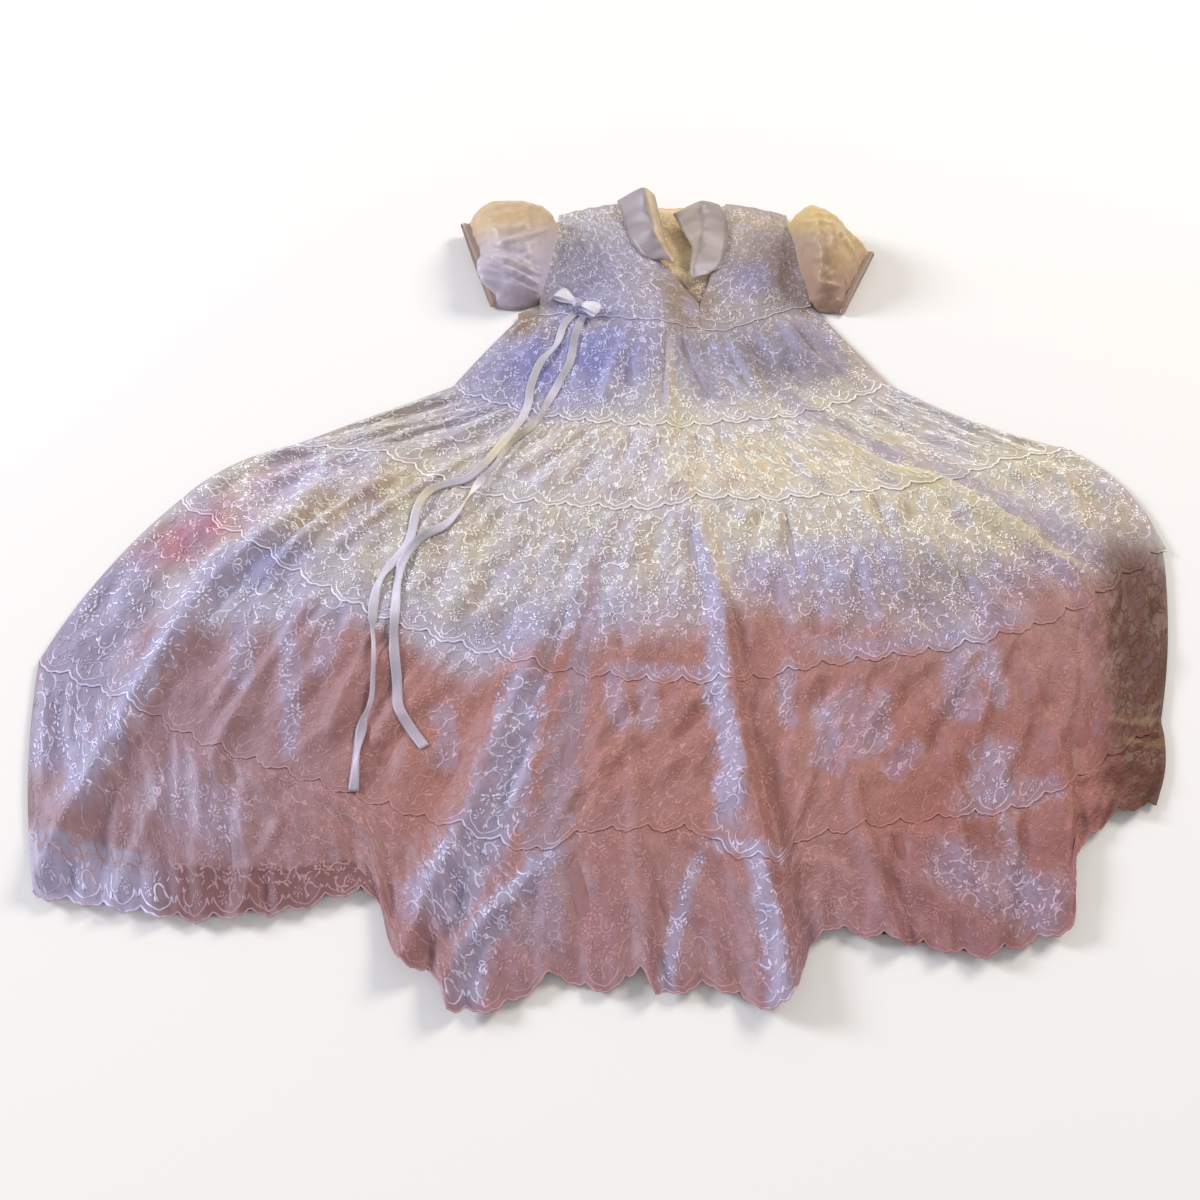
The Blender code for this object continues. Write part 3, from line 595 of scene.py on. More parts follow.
def slope_light_tone(grid):
    """Ground with painted light by slope: slopes that face left take a painted lavender light, slopes that
    face right a browner painted shade, and the whole is a little darker.
    """
    x, y, _ = np.moveaxis(grid, -1, 0)
    normal = grid_normals(grid)
    lean = 0.25 * normal[..., 1] - normal[..., 0]
    lavender = 0.8 * rise(lean, 0.10, 0.5) * (0.40 - 0.30 * shade_share(x, y))
    tone = mix(ground_tone(x, y) * 0.88, BLUE * 1.1, lavender)
    return mix(tone, tone * rgb(0.94, 0.84, 0.80), 0.8 * rise(lean, -0.08, -0.5))


def thread_tone(x, y, spark):
    """Colour of the embroidery with painted glints: bright over the lit cloth, close to the ground in the
    painted shade.
    """
    ground = ground_tone(x, y)
    light = THREAD_LIGHT * np.clip(ground / IVORY, 0.2, 1.35) ** 0.8
    # Each stroke's spark is its painted glint, broken up along it.
    spark = np.clip(spark * (1.0 + 0.75 * wandering(x, y, 7.0, 23)), 0.0, 1.2)
    base = ground * (1.02 + 0.24 * spark)[..., None] * rgb(1.0, 1.05, 1.05)
    share = light_share(x, y) * (0.24 + 1.30 * spark)
    return mix(base, np.clip(light, 0, 0.97), np.clip(share, 0.0, 0.98))


# ---------------------------------------------------------------- materials

def add_node(tree, kind, inputs=None, **settings):
    """A shader node. Each of its inputs gets a plain value or the output of another node."""
    node = tree.nodes.new("ShaderNode" + kind)
    for name, value in settings.items():
        setattr(node, name, value)
    for name, value in (inputs or {}).items():
        if isinstance(value, bpy.types.NodeSocket):
            tree.links.new(value, node.inputs[name])
        else:
            node.inputs[name].default_value = value
    return node


def cloth_material(name, roughness, sheen, weave_scale, bump, gloss=0.35, through=0.0, vary=0.10, ribs=None,
                   sheer=False, shine=None, slot=None):
    """A cloth's material and slot. Its colour is its tone attribute, varied by threads and slubs."""
    material = bpy.data.materials.new(name)
    material.use_nodes = True
    tree = material.node_tree
    tree.nodes.clear()
    tone = add_node(tree, "Attribute", attribute_name="tone").outputs["Color"]
    uv = add_node(tree, "UVMap", uv_map="UVMap").outputs["UV"]
    spread = add_node(tree, "Mapping", {"Vector": uv, "Scale": (weave_scale, weave_scale * 0.6, 1.0)})
    slub = add_node(tree, "TexNoise", {"Vector": spread.outputs["Vector"], "Scale": 1.0, "Detail": 4.0})
    height = slub.outputs["Fac"]
    change = add_node(tree, "MapRange", {
        "Value": height, "From Min": 0.25, "From Max": 0.75, "To Min": 1.0 - vary, "To Max": 1.0 + vary,
    })
    scaled = add_node(tree, "VectorMath", {0: tone, "Scale": change.outputs["Result"]}, operation="SCALE")
    colour = scaled.outputs["Vector"]
    if ribs:
        wave = add_node(tree, "TexWave", {"Vector": uv, "Scale": ribs, "Distortion": 1.2, "Detail": 2.0})
        height = add_node(tree, "Math", {0: height, 1: wave.outputs["Fac"]}, operation="ADD").outputs["Value"]
    relief = add_node(tree, "Bump", {"Strength": bump, "Distance": 0.0008, "Height": height})
    if shine:
        # the threads glitter only where the cloth is lit
        lit = add_node(tree, "Attribute", attribute_name="shine").outputs["Fac"]
        roughness, gloss = (
            add_node(tree, "MapRange", {"Value": lit, "To Min": dull, "To Max": bright}).outputs["Result"]
            for dull, bright in zip(shine, (roughness, gloss))
        )
    surface = add_node(tree, "BsdfPrincipled", {
        "Base Color": colour, "Roughness": roughness, "Specular IOR Level": gloss, "Sheen Weight": sheen,
        "Sheen Roughness": 0.4, "Normal": relief.outputs["Normal"],
    }).outputs["BSDF"]
    if through:
        glow = add_node(tree, "BsdfTranslucent", {"Color": colour}).outputs["BSDF"]
        surface = add_node(tree, "MixShader", {"Fac": through, 1: surface, 2: glow}).outputs["Shader"]
    if sheer:
        clear = add_node(tree, "BsdfTransparent").outputs["BSDF"]
        cover = add_node(tree, "Attribute", attribute_name="sheer").outputs["Fac"]
        surface = add_node(tree, "MixShader", {"Fac": cover, 1: clear, 2: surface}).outputs["Shader"]
    add_node(tree, "OutputMaterial", {"Surface": surface})
    return material, slot or name


ORGANZA = cloth_material("embroidered_organza", 0.5, 0.3, 330.0, 0.6, vary=0.13)
BORDER = cloth_material("organza_border", 0.5, 0.3, 330.0, 0.35, vary=0.13, sheer=True,
                        slot="embroidered_organza")
THREAD = cloth_material("embroidery_thread", 0.26, 0.1, 900.0, 0.4, gloss=1.0, vary=0.16, shine=(0.75, 0.15),
                        slot="embroidered_organza")
PUFF = cloth_material("plain_organza", 0.40, 0.4, 220.0, 0.3, gloss=0.45, through=0.22)
SATIN = cloth_material("satin", 0.36, 0.35, 160.0, 0.10, gloss=0.55, through=0.15, vary=0.06, ribs=900.0)
BIND = cloth_material("binding", 0.6, 0.2, 300.0, 0.5, gloss=0.3, ribs=1400.0)
LINING = cloth_material("lining", 0.7, 0.2, 300.0, 0.2, gloss=0.2)


# ---------------------------------------------------------------- meshes

def grid_quads(rows, columns, closed=False):
    r, c = np.meshgrid(np.arange(rows - 1), np.arange(columns if closed else columns - 1), indexing="ij")
    a = (r * columns + c).ravel()
    b = (r * columns + (c + 1) % columns).ravel()
    return np.stack([a, a + columns, b + columns, b], axis=1)


def grid_normals(grid):
    """A grid's normals, all turned upwards."""
    normal = unit(np.cross(np.gradient(grid, axis=0), np.gradient(grid, axis=1)))
    return normal * np.where(normal[..., 2:3] < 0, -1.0, 1.0)


def sample(grid, r, c):
    """Bilinear values of a grid at fractional rows and columns."""
    r = np.clip(r, 0, grid.shape[0] - 1.001)
    c = np.clip(c, 0, grid.shape[1] - 1.001)
    r0 = r.astype(int)
    c0 = c.astype(int)
    upper = mix(grid[r0, c0], grid[r0, c0 + 1], c - c0)
    lower = mix(grid[r0 + 1, c0], grid[r0 + 1, c0 + 1], c - c0)
    return mix(upper, lower, r - r0)


def make_mesh(name, cloth, points, quads, uv, tone, extra=None, node=None, thick=0.0):
    """A piece from layout points in millimetres, with its tone and one extra value as attributes."""
    material, slot = cloth
    mesh = bpy.data.meshes.new(name)
    points = (points.reshape(-1, 3) + SHIFT) * MM
    quads = quads.astype(np.int32)
    mesh.vertices.add(len(points))
    mesh.vertices.foreach_set("co", points.ravel())
    mesh.loops.add(quads.size)
    mesh.loops.foreach_set("vertex_index", quads.ravel())
    mesh.polygons.add(len(quads))
    mesh.polygons.foreach_set("loop_start", np.arange(0, quads.size, 4, dtype=np.int32))
    mesh.polygons.foreach_set("use_smooth", np.full(len(quads), True))
    mesh.update(calc_edges=True)
    layer = mesh.uv_layers.new(name="UVMap")
    layer.data.foreach_set("uv", uv.reshape(-1, 2)[quads.ravel()].ravel() * MM)
    layer = mesh.color_attributes.new("tone", "FLOAT_COLOR", "POINT")
    layer.data.foreach_set("color", np.insert(tone.reshape(-1, 3), 3, 1.0, axis=1).ravel())
    if extra:
        layer = mesh.attributes.new(extra[0], "FLOAT", "POINT")
        layer.data.foreach_set("value", extra[1].ravel())
    item = bpy.data.objects.new(name, mesh)
    bpy.context.scene.collection.objects.link(item)
    if thick:
        solid = item.modifiers.new("thickness", "SOLIDIFY")
        solid.thickness = thick * MM
        solid.offset = 0.0
    mesh.materials.append(material)
    if node:
        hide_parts(node)
    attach(item, "root")
    return item


def make_cloth(node, cloth, grid, u, v, tone, closed=False, **more):
    """The visual cloth of one CAD piece: a grid whose weave runs along u and v, in millimetres."""
    uv = np.stack(np.broadcast_arrays(u, v), -1)
    quads = grid_quads(*grid.shape[:2], closed)
    tone = np.broadcast_to(tone, grid.shape)
    return make_mesh(node + "_cloth", cloth, grid, quads, uv, tone, node=node, **more)


# ---------------------------------------------------------------- embroidery

def chain(x, y, angles, step):
    """Points of a line that starts at x, y and takes one step along each angle after the first."""
    ways = np.stack([np.cos(angles), np.sin(angles)], 1)
    ways[0] = 0.0
    return (x, y) + step * np.cumsum(ways, axis=0)


def polar(x, y, reach, angle):
    return x + reach * np.cos(angle), y + reach * np.sin(angle)


def cord_block(line, radius):
    """A thin cord along an edge: its points, faces, weave and sparks."""
    sides = 6
    along = unit(np.gradient(line, axis=0))
    across = unit(np.cross(along, (0.0, 0.0, 1.0)))
    over = np.cross(across, along) * 0.8
    lit = light_share(line[:, 0], line[:, 1])
    reach = (radius * (0.6 + 0.4 * lit))[:, None]
    turns = 2 * math.pi * np.arange(sides) / sides
    rings = [line + reach * (across * math.cos(a) + over * math.sin(a)) for a in turns]
    length = run_lengths(line)
    weave = np.stack([np.repeat(length, sides), np.tile(np.arange(sides) / sides, len(line))], 1)
    # Painted glints that come and go along the cord, and a paler painted cord in the painted shade.
    gleam = 0.72 + 0.40 * np.sin(length * 0.11) * np.sin(length * 0.043 + 1.0)
    gleam = np.maximum(gleam * (0.30 + 0.70 * lit), 1.15 * (1.0 - lit))
    return (np.stack(rings, axis=1).reshape(-1, 3), grid_quads(len(line), sides, closed=True), weave,
            np.repeat(gleam, sides))


class Stitches:
    """Collects flat satin-stitch strokes laid on a cloth grid, in millimetres across and down the cloth."""

    def __init__(self, grid, width, height, seed, first_row=0):
        self.grid = grid
        self.normals = grid_normals(grid)
        self.width = width
        self.height = height
        self.first_row = first_row
        self.batches = {}
        # strength of the painted glints of the strokes being laid
        self.glint_level = 1.0
        self.fine = 1.0
        self.rng = np.random.default_rng(seed)

    def stroke(self, points, half, high=0.42):
        """A stitched line with half its width at each point, left out if it would pass the cloth's edge."""
        points = np.asarray(points, float)
        (low_p, low_q), (high_p, high_q) = points.min(axis=0), points.max(axis=0)
        if low_p < 1.2 or high_p > self.width - 1.2 or low_q < 0.6 or high_q > self.height - 0.6:
            return
        half = self.fine * np.broadcast_to(half, (len(points),))
        # spark is the strength of the stroke's painted glint
        spark = self.glint_level * self.rng.random() ** 1.6
        self.batches.setdefault(len(points), []).append((points, half, high, spark))

    def leaf(self, x, y, angle, length, width, bend=0.0, count=4):
        t = np.linspace(0, 1, count)
        points = chain(x, y, angle + bend * (t - 0.5), length / (count - 1))
        self.stroke(points, 0.5 * width * np.sin(math.pi * (0.12 + 0.80 * t)) ** 0.7, 0.55)

    def flower(self, x, y, radius, petals, turn):
        """A full flower head: two rings of short fat petals."""
        for count, reach, size in ((petals - 2, 0.16, 0.42), (petals + 1, 0.56, 0.50)):
            for k in range(count):
                a = turn + 2 * math.pi * k / count + self.rng.normal(0, 0.14)
                self.leaf(*polar(x, y, reach * radius, a), a + self.rng.normal(0, 0.25), size * radius,
                          0.24 * radius + 0.35, 0.3)
            turn += 0.4

    def hook(self, x, y, radius, start, way):
        """A stem that bends round to a bud, with a few short leaves outside it."""
        t = np.linspace(0, 1, 10)
        a = start + way * 3.1 * t
        stem = np.stack(polar(x, y, radius * (1.0 - 0.28 * t), a), 1)
        self.stroke(stem, 0.68 * (1.0 - 0.30 * t))
        for turn in (0.75, 1.55):
            self.leaf(*stem[-1], a[-1] + way * turn, 0.75 * radius, 0.42 * radius, way * 0.6)
        for share in (0.14, 0.34, 0.54)[int(self.rng.integers(0, 2)):]:
            b = start + way * 3.1 * share
            self.leaf(*polar(x, y, radius + 0.4, b), b - way * 0.8, 3.4, 1.5, way * 0.5)
        self.leaf(*polar(x, y, radius, start), start - way * math.pi / 2, 5.0, 1.3, way * 0.8)

    def sprig(self, x, y, angle, length, bend):
        """A stem that bends one way and back, with leaves on both sides."""
        a = angle + bend * np.sin(2.4 * math.pi * np.linspace(-0.5, 0.5, 9))
        stem = chain(*polar(x, y, -0.5 * length, angle), a, length / 8)
        self.stroke(stem, 0.60)
        for k in (1, 3, 4, 6, 8):
            way = 1 if k % 2 else -1
            turn = way * self.rng.uniform(0.5, 1.0)
            self.leaf(*stem[k], a[k] + turn, self.rng.uniform(3.2, 4.8), 1.8, way * 0.4)

    def loop(self, x, y, angle, length):
        """The outline of a petal."""
        t = np.linspace(0, 2 * math.pi, 11)
        out = 0.5 * length * (1 - np.cos(t))
        aside = 0.30 * length * np.sin(t) * np.sin(t / 2)
        c = math.cos(angle)
        s = math.sin(angle)
        self.stroke(np.stack([x + out * c - aside * s, y + out * s + aside * c], 1), 0.56)

    def motif(self, kind, x, y, size, way, row):
        """A flower, a curl, a sprig or three petals."""
        rng = self.rng
        if kind == 0:
            self.flower(x, y, rng.uniform(5.0, 6.8) * size, int(rng.integers(6, 8)), rng.uniform(0, 1))
        elif kind in (1, 3):
            self.hook(x, y, rng.uniform(4.0, 6.4) * size, rng.uniform(0, TURN), way)
        elif kind == 2:
            angle = rng.uniform(-0.9, 0.9) + (TURN / 4 if row % 2 else 0.0)
            self.sprig(x, y, angle, rng.uniform(17, 25) * size, way * rng.uniform(0.5, 1.1))
        else:
            a = rng.uniform(0, TURN)
            for turn in (-0.85, 0.0, 0.85):
                self.loop(x, y, a + turn, rng.uniform(4.6, 6.4) * size)
            self.leaf(x, y, a + math.pi, 6.0 * size, 1.0, 0.8)

    def fill(self, top, size, spacing=None):
        """Closely set motifs, loose short stitches between them and, with a spacing, a row along the edge."""
        rng = self.rng
        self.fine = 0.45 + 0.5 * size
        room = self.height - top - (15.0 if spacing else 1.0)
        rows = max(1, int(round(room / (12.4 * size))))
        step = 14.6 * size
        for row in range(rows):
            for k in range(int(self.width / step) + 2):
                x = step * (k + 0.5 * (row % 2)) + rng.uniform(-2.2, 2.2) * size
                y = top + (row + 0.5) * room / rows + rng.uniform(-1.8, 1.8) * size
                kind = (k * 2 + row * 3 + int(rng.integers(0, 2))) % 5
                # Each motif, and each loose stitch, gets its own strength of painted glint.
                self.glint_level = rng.uniform(0.7, 1.5) if kind == 0 else rng.uniform(0.25, 1.05)
                self.motif(kind, x, y, size, 1 if (k + row) % 2 else -1, row)
        for _ in range(int(self.width * room / 38.0)):
            self.glint_level = rng.uniform(0.3, 1.6)
            self.leaf(rng.uniform(0, self.width), top + rng.uniform(0, room), rng.uniform(0, TURN),
                      rng.uniform(2.2, 4.2), rng.uniform(0.9, 1.5), 0.8, 3)
        self.glint_level = 1.0
        if spacing:
            self.edge_row(spacing)

    def edge_row(self, spacing):
        """An arch, a curl, a flower and leaves in every scallop."""
        half = spacing / 2.0
        a = np.linspace(-0.15, math.pi + 0.15, 18)
        for k in range(int(self.width // spacing) + 1):
            x = (k + 0.5) * spacing
            y = self.height - 8.6
            if x < 3 or x > self.width - 3:
                continue
            turn = -1.0 if k % 2 else 1.0
            self.stroke(np.stack([x + (half - 2.4) * np.cos(a), y + 1.4 + 4.6 * np.sin(a)], 1), 0.5)
            self.hook(x - turn * 2.8, y, 3.4, 0.6 * turn, turn)
            self.flower(x + turn * 4.6, y, 3.2, 6, 0.3)
            for j in (-1, 0, 1):
                b = -math.pi / 2 + j * 0.6
                self.leaf(x + 2.0 * math.cos(b), y - 4.6 + 1.6 * math.sin(b), b, 3.6, 1.3)
            for j in (-1, 1):
                self.leaf(x + j * (half - 0.6), y + 4.2, -math.pi / 2 - 0.35 * j, 4.2, 1.3)
                self.leaf(x + j * (half - 4.6), y - 5.0, -math.pi / 2 + 0.7 * j, 3.8, 1.2)

    def block(self, count, strokes):
        """Points, faces, weave and sparks of all the strokes that have this count of points."""
        points, half, high, spark = (np.array(part) for part in zip(*strokes))
        rows, columns = self.grid.shape[:2]
        r = self.first_row + points[..., 1] / self.height * (rows - 1 - self.first_row)
        c = points[..., 0] / self.width * (columns - 1)
        centre = sample(self.grid, r, c)
        normal = unit(sample(self.normals, r, c))
        side = unit(np.cross(normal, np.gradient(centre, axis=1))) * half[..., None]
        crown = high[:, None] * (0.40 + 0.60 * light_share(centre[..., 0], centre[..., 1]))
        foot = centre + normal * 0.06
        ridges = [foot - side, centre + normal * crown[..., None], foot + side]
        weave = np.stack(np.broadcast_arrays(run_lengths(centre)[..., None], rgb(0.0, 0.5, 1.0)), -1)
        quads = grid_quads(count, 3)[:, [0, 3, 2, 1]] + (np.arange(len(strokes)) * count * 3)[:, None, None]
        return (np.stack(ridges, axis=2).reshape(-1, 3), quads.reshape(-1, 4), weave.reshape(-1, 2),
                np.repeat(spark, count * 3))

    def build(self, name, tone_of, edge_line, cord=0.8):
        """One piece of all the stitches, with a cord along the cloth's edge."""
        blocks = [self.block(count, strokes) for count, strokes in self.batches.items()]
        blocks.append(cord_block(edge_line, cord))
        starts = np.cumsum([0] + [len(block[0]) for block in blocks])
        points = np.vstack([block[0] for block in blocks])
        quads = np.vstack([block[1] + start for block, start in zip(blocks, starts)])
        weave = np.vstack([block[2] for block in blocks])
        spark = np.concatenate([block[3] for block in blocks])
        x, y, _ = points.T
        make_mesh(name, THREAD, points, quads, weave, tone_of(x, y, spark), ("shine", light_share(x, y)))


# ---------------------------------------------------------------- skirt

COLUMNS = 330
BACK_WIDTH = 700.0       # mean width of a back tier's strip, for its pattern
tier_grids = {}


def tier_cloth(tier, height, spacing, depth, seed):
    """A front tier's grid, its strip coordinates across and down, and its width."""
    width = run_lengths(edge_xy(tier, np.linspace(0, 1, 800)))[-1]
    rows = int(height / (2.6))
    shares = np.concatenate([[-TUCK / height, -0.5 * TUCK / height], np.linspace(0, 1, rows)])
    uu, tt = np.meshgrid(np.linspace(0.0, 1.0, COLUMNS), shares)
    p = uu * width
    q = tt * height
    x, y = np.moveaxis(tier_xy(tier, uu, tt, scallop(p, spacing, depth, seed)), -1, 0)
    folds = TIER_Z + fold_height(x, y)
    z = folds + seam_wave(tier - 1, x) * (1.0 - rise(q, 0.0, 30.0))
    z += ripples(p, np.clip(q, 0, None), width, height, seed, 0.7 if tier == 1 else 1.0)
    if tier < 5:
        left_over = (1.0 - tt) * np.linalg.norm(edge_xy(tier, uu) - edge_xy(tier - 1, uu), axis=-1)
        z += rise(left_over, 26.0, -23.0) * (folds + seam_wave(tier, x) + EDGE_LIFT - z)
    else:
        z += 0.8 * np.sin(p * 0.19 + 1.0) ** 2 * rise(tt, 0.7, 0.3)
    z -= 0.3 * rise(q, 0.0, -4.0)
    # the side edges roll down towards the lining
    side = np.minimum(uu, 1.0 - uu) * width
    z = LINING_Z + 0.5 + (z - LINING_Z - 0.5) * rise(side, -3.0, 14.0)
    return np.dstack([x, y, z]), p, q, width


def make_front_tier(tier, height, spacing, depth, seed):
    node = "front_tier_%d" % tier
    grid, p, q, width = tier_cloth(tier, height, spacing, depth, seed)
    tone = slope_light_tone(grid)
    extra = None
    if tier == 5:
        # the hem's lace border is sheer, most of all at its left corner
        x = grid[..., 0]
        corner = rise(x, -170, -30)
        rim = rise(height - q, 25.0, -3.0)
        # Painted shade: the border's tone turns a dark red-brown, with painted lavender light at its far
        # left.
        rim_tone = mix(rgb(0.25, 0.11, 0.11), BLUE * 1.1, rise(x, -290, -40))
        tone = mix(tone, rim_tone, 0.8 * rim * corner)
        extra = ("sheer", 1.0 - rim * (0.04 + 0.20 * corner))
    item = make_cloth(node, BORDER if tier == 5 else ORGANZA, grid, p, q, tone, extra=extra)
    tier_grids[tier] = grid
    stitches = Stitches(grid, width, height, seed + 1, first_row=2)
    stitches.fill(3.0, 0.96 if tier < 3 else 0.86, spacing)
    stitches.build(node + "_embroidery", thread_tone, grid[-1])
    return item


def make_back_tier(tier, height, seed):
    """A hidden layer of the skirt, flat with faint ripples."""
    uu, tt = np.meshgrid(np.linspace(0.006, 0.994, 120), np.linspace(0, 1, 10))
    p = uu * BACK_WIDTH
    x, y = np.moveaxis(tier_xy(tier, uu, tt, scallop(p, 26.0, 3.0, seed) - 3.0), -1, 0)
    grid = np.dstack([x, y, BACK_Z + 0.35 * np.sin(uu * 60.0 + 3.0 * tt) * np.sin(math.pi * tt)])
    # Its tone is the cloth's ground tone with its painted light and shade, a little darker.
    item = make_cloth("back_tier_%d" % tier, ORGANZA, grid, p, tt * height, ground_tone(x, y) * 0.92)
    if tier == 5:
        stitches = Stitches(grid, BACK_WIDTH, height, 77)
        stitches.fill(3.0, 1.2, 26.0)
        # The threads keep their painted glints, a little darker.
        stitches.build("back_tier_5_embroidery", lambda x, y, spark: thread_tone(x, y, spark) * 0.9, grid[-1])
    return item


def make_lining():
    strips = []
    for tier in range(1, 6):
        shares = np.linspace(0, 1, 7) if tier < 5 else np.linspace(0, 0.72, 10)
        uu, tt = np.meshgrid(np.linspace(0.012, 0.988, 120), shares if tier == 1 else shares[1:])
        strips.append(tier_xy(tier, uu, tt))
    x, y = np.moveaxis(np.vstack(strips), -1, 0)
    grid = np.dstack([x, y, LINING_Z + 0.25 * np.sin(np.linspace(0, 50, 120)) + 0 * x])
    # The lining's tone is the cloth's ground tone with its painted light and shade, darker.
    return make_cloth("skirt_lining", LINING, grid, x, y, ground_tone(x, y) * 0.85)


front_items = [make_front_tier(*row) for row in TIERS]
back_items = [make_back_tier(tier, height, seed + 3) for tier, height, _, _, seed in TIERS]
lining = make_lining()


# ---------------------------------------------------------------- bodice

BODICE_HEIGHT = 148.0
PATTERN_HEIGHT = 150.0   # of the bodice's embroidery
NECK_X = 5.0


def between(table, y, share):
    """x at a share of the way between the two edges of a bodice table, at levels y."""
    levels, first, second = np.transpose(table)
    return np.interp(y, levels, first) * (1.0 - share) + np.interp(y, levels, second) * share


def make_half_front(node, table, seed):
    tt, ss = np.meshgrid(np.linspace(0, 1, 58), np.linspace(0, 1, 62))
    x = between(table, ss * BODICE_HEIGHT, tt)
    length = abs(table[0][2] - table[0][1])
    low = np.interp(x, *EDGE_LINES[0]) - scallop(x + 200.0, 15.7, 2.4, 2.0)
    y = low + (BODICE_HEIGHT - low) * ss - SHOULDER_DROP * (1.0 - tt) * rise(ss, 0.55, 0.45)
    z = 4.3 + 2.2 * np.sin(math.pi * (0.12 + 0.68 * tt))
    z += (TIER_Z + EDGE_LIFT + seam_wave(0, x) - z) * (1 - rise(y - low, 3.0, 16.0))
    if table is LEFT_FRONT:
        # its front edge goes under the right half at the foot of the V
        z -= 0.35 * rise(tt, 0.94, 0.06) * (1.0 - rise(y, 26.0, 14.0))
    z += 0.5 * fold_height(x, y)
    z += ripples(tt * length, np.clip(y - low, 0, None), length, BODICE_HEIGHT, seed, 0.42) * (1 - 0.5 * ss)
    grid = np.dstack([x, y, z])
    item = make_cloth(node, ORGANZA, grid, x, y, slope_light_tone(grid))
    stitches = Stitches(grid[::-1], length, PATTERN_HEIGHT, seed)
    stitches.fill(2.0, 0.92)
    stitches.build(node + "_embroidery", thread_tone, grid[0], 0.6)
    return item, grid


def neck_thread_tone(x, y, spark):
    """Painted warm light: the back's threads turn golden inside the neck."""
    inner = rise(np.abs(x - NECK_X), 50, -16) * (0.40 + 0.55 * rise(y, 50, 30))
    return mix(thread_tone(x, y, spark), rgb(0.92, 0.76, 0.50), inner)


def make_bodice_back():
    tt, ss = np.meshgrid(np.linspace(0, 1, 70), np.linspace(0, 1, 40))
    y = ss * (BODICE_HEIGHT + 1.0)
    x = between(BODICE_BACK, y, tt)
    away = np.abs(x - NECK_X)
    top = -SHOULDER_DROP * np.clip(away - 46.0, 0, None) / 50.0 - 4.0 * np.clip(1.0 - away / 46.0, 0, 1)
    y = y + np.interp(x, *EDGE_LINES[0]) * (1 - ss) + top * rise(ss, 0.6, 0.4)
    y = y + 1.3 * rise(ss, 0.93, 0.07) * np.abs(np.sin(x * 0.4))
    grid = np.dstack([x, y, 1.5 + 0.5 * np.sin(x * 0.09) * np.sin(y * 0.06)])
    # Inside the neck the back takes a golden painted warm light, turning to painted shade towards the foot of
    # the V.
    inner = 0.95 * rise(away, 50, -16)
    tone = mix(ground_tone(x, y), rgb(0.86, 0.64, 0.35), inner)
    tone = mix(tone, rgb(0.29, 0.20, 0.155), inner * rise(y, 84, -46))
    item = make_cloth("bodice_back", ORGANZA, grid, x, y, tone)
    stitches = Stitches(grid[::-1], 215.0, PATTERN_HEIGHT, 7)
    stitches.fill(2.0, 0.78)
    # only what shows in the neck is stitched
    for count, strokes in stitches.batches.items():
        stitches.batches[count] = [stroke for stroke in strokes if 45.0 < stroke[0][:, 0].mean() < 172.0]
    stitches.build("bodice_back_embroidery", neck_thread_tone, grid[-1], 0.5)
    return item


left_front, left_grid = make_half_front("bodice_front_left", LEFT_FRONT, 101)
right_front, right_grid = make_half_front("bodice_front_right", RIGHT_FRONT, 103)
bodice_back = make_bodice_back()


# ---------------------------------------------------------------- sleeves and cuffs

def sleeve_ring(part, corners, angle, grow=0.0):
    """Points of a flattened ring at a share of the way from armhole to cuff."""
    armhole_top, armhole_low, cuff_top, cuff_low = np.reshape(corners, (4, 2))
    left = armhole_top[0] < 0
    full = np.abs(2.0 * np.clip(part, 0, 1) ** (1.0 if left else 0.66) - 1.0)
    height = 43.0 - 28.5 * full ** (3.8 if left else 2.4)
    height = height * (1.0 if left else 1.05 - 0.29 * rise(part, 0.1, 0.9))
    top = mix(armhole_top, cuff_top, part)
    low = mix(armhole_low, cuff_low, part)
    across = np.cos(angle)
    upper = np.clip(np.sin(angle), 0, None)
    reach = np.linalg.norm(top - low, axis=-1) / 2 * (1.04 - 0.095 * full ** 2) + grow
    lean = 8.0 * (1.0 - full ** 2) * upper
    flat = mix((top + low) / 2, (top + low) / 2 + unit(top - low), reach * across + lean)
    under = np.clip(2.2 + 2.6 * np.sin(angle), 0.6, None)
    z = np.where(np.sin(angle) >= 0, 2.2 + (height + grow - 2.2) * upper ** 0.8, under)
    return np.dstack([flat, z + (6.0 if left else 1.0) * rise(part, 0.3, 0.7) * smoothstep(across)])


def sleeve_creases(side, x, level, angle, part):
    """Heights of the listed creases, and of them with all the softer ones."""
    placed = np.zeros_like(part)
    for where, half, size, knots in CREASES:
        if where == side:
            away, _, share = near_path(x, level, knots)
            half = half * (0.6 + 0.8 * np.sin(math.pi * share))
            placed += size * bell(away, 0.0, half) * rise(share, 0, 0.3) * rise(share, 1, -0.3)
    crease = placed + 0.55 * wandering(x, level, 26.0, 12) + 0.35 * wandering(x, level, 11.0, 13)
    # soft creases over the top and the far side, and puckers along both seams
    rng = np.random.default_rng(31 if side == "left" else 37)
    for k in range(34):
        middle = rng.uniform(-0.2, 1.2) if k < 12 else rng.uniform(0.4, math.pi)
        width = rng.uniform(0.05, 0.12)
        seam = part if k % 2 else 1 - part
        reach = rng.uniform(0.3, 0.9) if k < 12 else rng.uniform(0.08, 0.45)
        size = rng.uniform(0.2, 0.65)
        middle = middle + rng.uniform(-0.4, 0.4) * seam
        crease += size * bell(angle, middle, width) * (1 - rise(seam, 0.0, reach))
    return placed, crease


